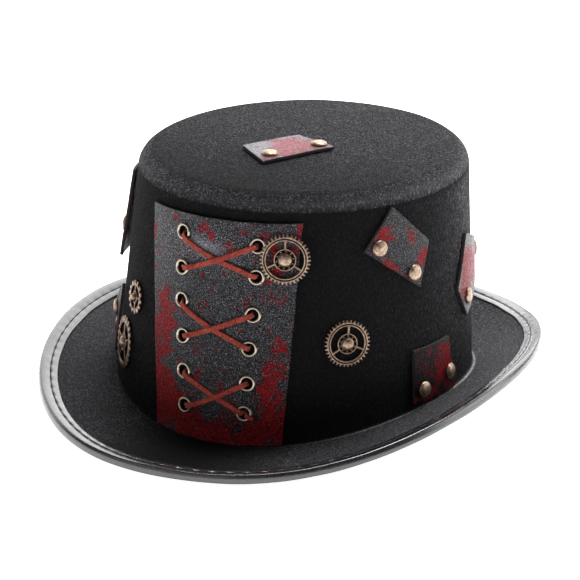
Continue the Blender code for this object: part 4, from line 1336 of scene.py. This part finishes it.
def laceStations(length, crossing, over):
    entry = laceEntry()
    leaving = entry[::-1] * [-1, 1] + [length, 0]
    if not over:
        return np.concatenate([entry, leaving])
    middle = length / 2
    lift = lace["thickness"] + gap
    flat = lace["width"] / 2 * (1 + math.cos(crossing)) / math.sin(crossing) + lace["thickness"] * 0.3
    hump = [
        (middle - flat - lace["ramp"], laceLow),
        (middle - flat, laceLow + lift),
        (middle + flat, laceLow + lift),
        (middle + flat + lace["ramp"], laceLow),
    ]
    return np.concatenate([entry, hump, leaving])


# A flat thong: a rounded oblong carried along the wall. The stations are read at even steps of their
# own length and smoothed twice by a moving mean, so that no bend is a corner.
def makeLace(name, start, end, stations, width, bow, finish, seed):
    straight = wallPoint(*end) - wallPoint(*start)
    length = np.linalg.norm(straight)
    walked = np.append(0, np.cumsum(np.linalg.norm(np.diff(stations, axis=0), axis=1)))
    even = np.linspace(0, walked[-1], lace["stations"])
    path = np.stack([np.interp(even, walked, stations[:, i]) for i in range(2)], axis=-1)
    window = 7
    for _ in range(2):
        padded = np.concatenate([
            2 * path[:1] - path[window // 2:0:-1], path, 2 * path[-1:] - path[-2:-window // 2 - 1:-1],
        ])
        path = np.stack([np.convolve(padded[:, i], np.ones(window) / window, "valid") for i in range(2)], axis=-1)
    share = path[:, 0] / length
    angle = lerp(start[0], end[0], share)
    level = lerp(start[1], end[1], share)
    normal = wallNormal(angle, level)
    side = unit(np.cross(normal, straight))
    hang = bow * np.sin(np.pi * np.clip(share, 0, 1) ** 0.52) ** 1.2
    centre = wallPoint(angle, level, path[:, 1]) + side * hang[:, None]
    forward = unit(np.gradient(centre, axis=0))
    side = unit(side - forward * (side * forward).sum(axis=1, keepdims=True))
    top = np.cross(forward, side) * -1
    turn = np.radians(np.arange(20) * 18.0)
    halfWidth = width / 2 * (1 + 0.05 * wobble(centre, 0.009, seed))
    halfThick = lace["thickness"] / 2 * (1 + 0.08 * wobble(centre, 0.007, seed + 1))
    out = signedPower(np.cos(turn), 0.45)
    rise = signedPower(np.sin(turn), 0.60)
    rings = (
        centre[:, None]
        + side[:, None] * (halfWidth[:, None] * out)[..., None]
        + top[:, None] * (halfThick[:, None] * rise)[..., None]
    )
    across = np.append(np.tile(np.abs(out), len(centre)), [0, 0])
    newPiece(name + "_thong", closedRings(rings), finish, "rust_suede", [name], side=across)


def makeLaces():
    finish = suedeFinish()
    left = [(angle, share * crown["height"]) for angle, share in eyeletsLeft]
    right = [(angle, share * crown["height"]) for angle, share in eyeletsRight]
    for cross in range(3):
        upper = 2 * cross
        lower = upper + 1
        falling = wallPoint(*right[lower]) - wallPoint(*left[upper])
        rising = wallPoint(*right[upper]) - wallPoint(*left[lower])
        crossing = math.acos(float(unit(falling) @ unit(rising)))
        for name, start, end, over in (
            (f"lace_under_{cross + 1}", left[upper], right[lower], False),
            (f"lace_over_{cross + 1}", left[lower], right[upper], True),
        ):
            length = np.linalg.norm(wallPoint(*end) - wallPoint(*start))
            stations = laceStations(length, crossing, over)
            bow = lace["bows"][name]
            makeLace(name, start, end, stations, lace["width"], bow, finish, 100 + 10 * cross + over)
    # the free end comes out of the last eyelet and is cut off just past its flange
    last, before = right[-1], left[-2]
    ahead = (last[0] + (last[0] - before[0]) / 2, last[1] + (last[1] - before[1]) / 2)
    inset = lace["thickness"] / 2 + gap
    cut = [(eyelet["radius"] + lace["tailLength"], laceHigh)]
    stations = np.concatenate([laceEntry()[:-2] + [inset, 0], cut])
    makeLace("lace_tail", last, ahead, stations, lace["width"] * 0.8, 0.0, finish, 140)
    print("laces: made 7")


def makeFloor():
    half = surroundings["floorSize"] / 2
    corners = np.array([(-half, -half, 0), (half, -half, 0), (half, half, 0), (-half, half, 0)])
    mesh = bpy.data.meshes.new("pale_floor")
    mesh.from_pydata(corners.tolist(), [], [(0, 1, 2, 3)])
    material, tree, shader, place = newFinish(
        "pale_floor", surroundings["floorColour"], 0.9, Emission_Strength=surroundings["floorGlow"],
    )
    shader.inputs["Emission Color"].default_value = (1, 1, 1, 1)
    faint = noise(tree, place, 3.0, 2.0, 0.5)
    feed(tree, shader, Base_Color=mixed(tree, faint, surroundings["floorColour"], (0.95, 0.95, 0.95)))
    mesh.materials.append(material)
    floor = bpy.data.objects.new("pale_floor", mesh)
    scene.collection.objects.link(floor)


setCamera()
setLights()
makeFloor()
makeFelt()
makeBinding()
leathers = (leatherFinish(), cutEdgeFinish())
bronzePlate = bronzeFinish()
makePanel(leathers)
makePatches(leathers, bronzePlate)
makeEyelets()
makeLaces()
makeGears(bronzePlate)

bpy.context.view_layer.update()
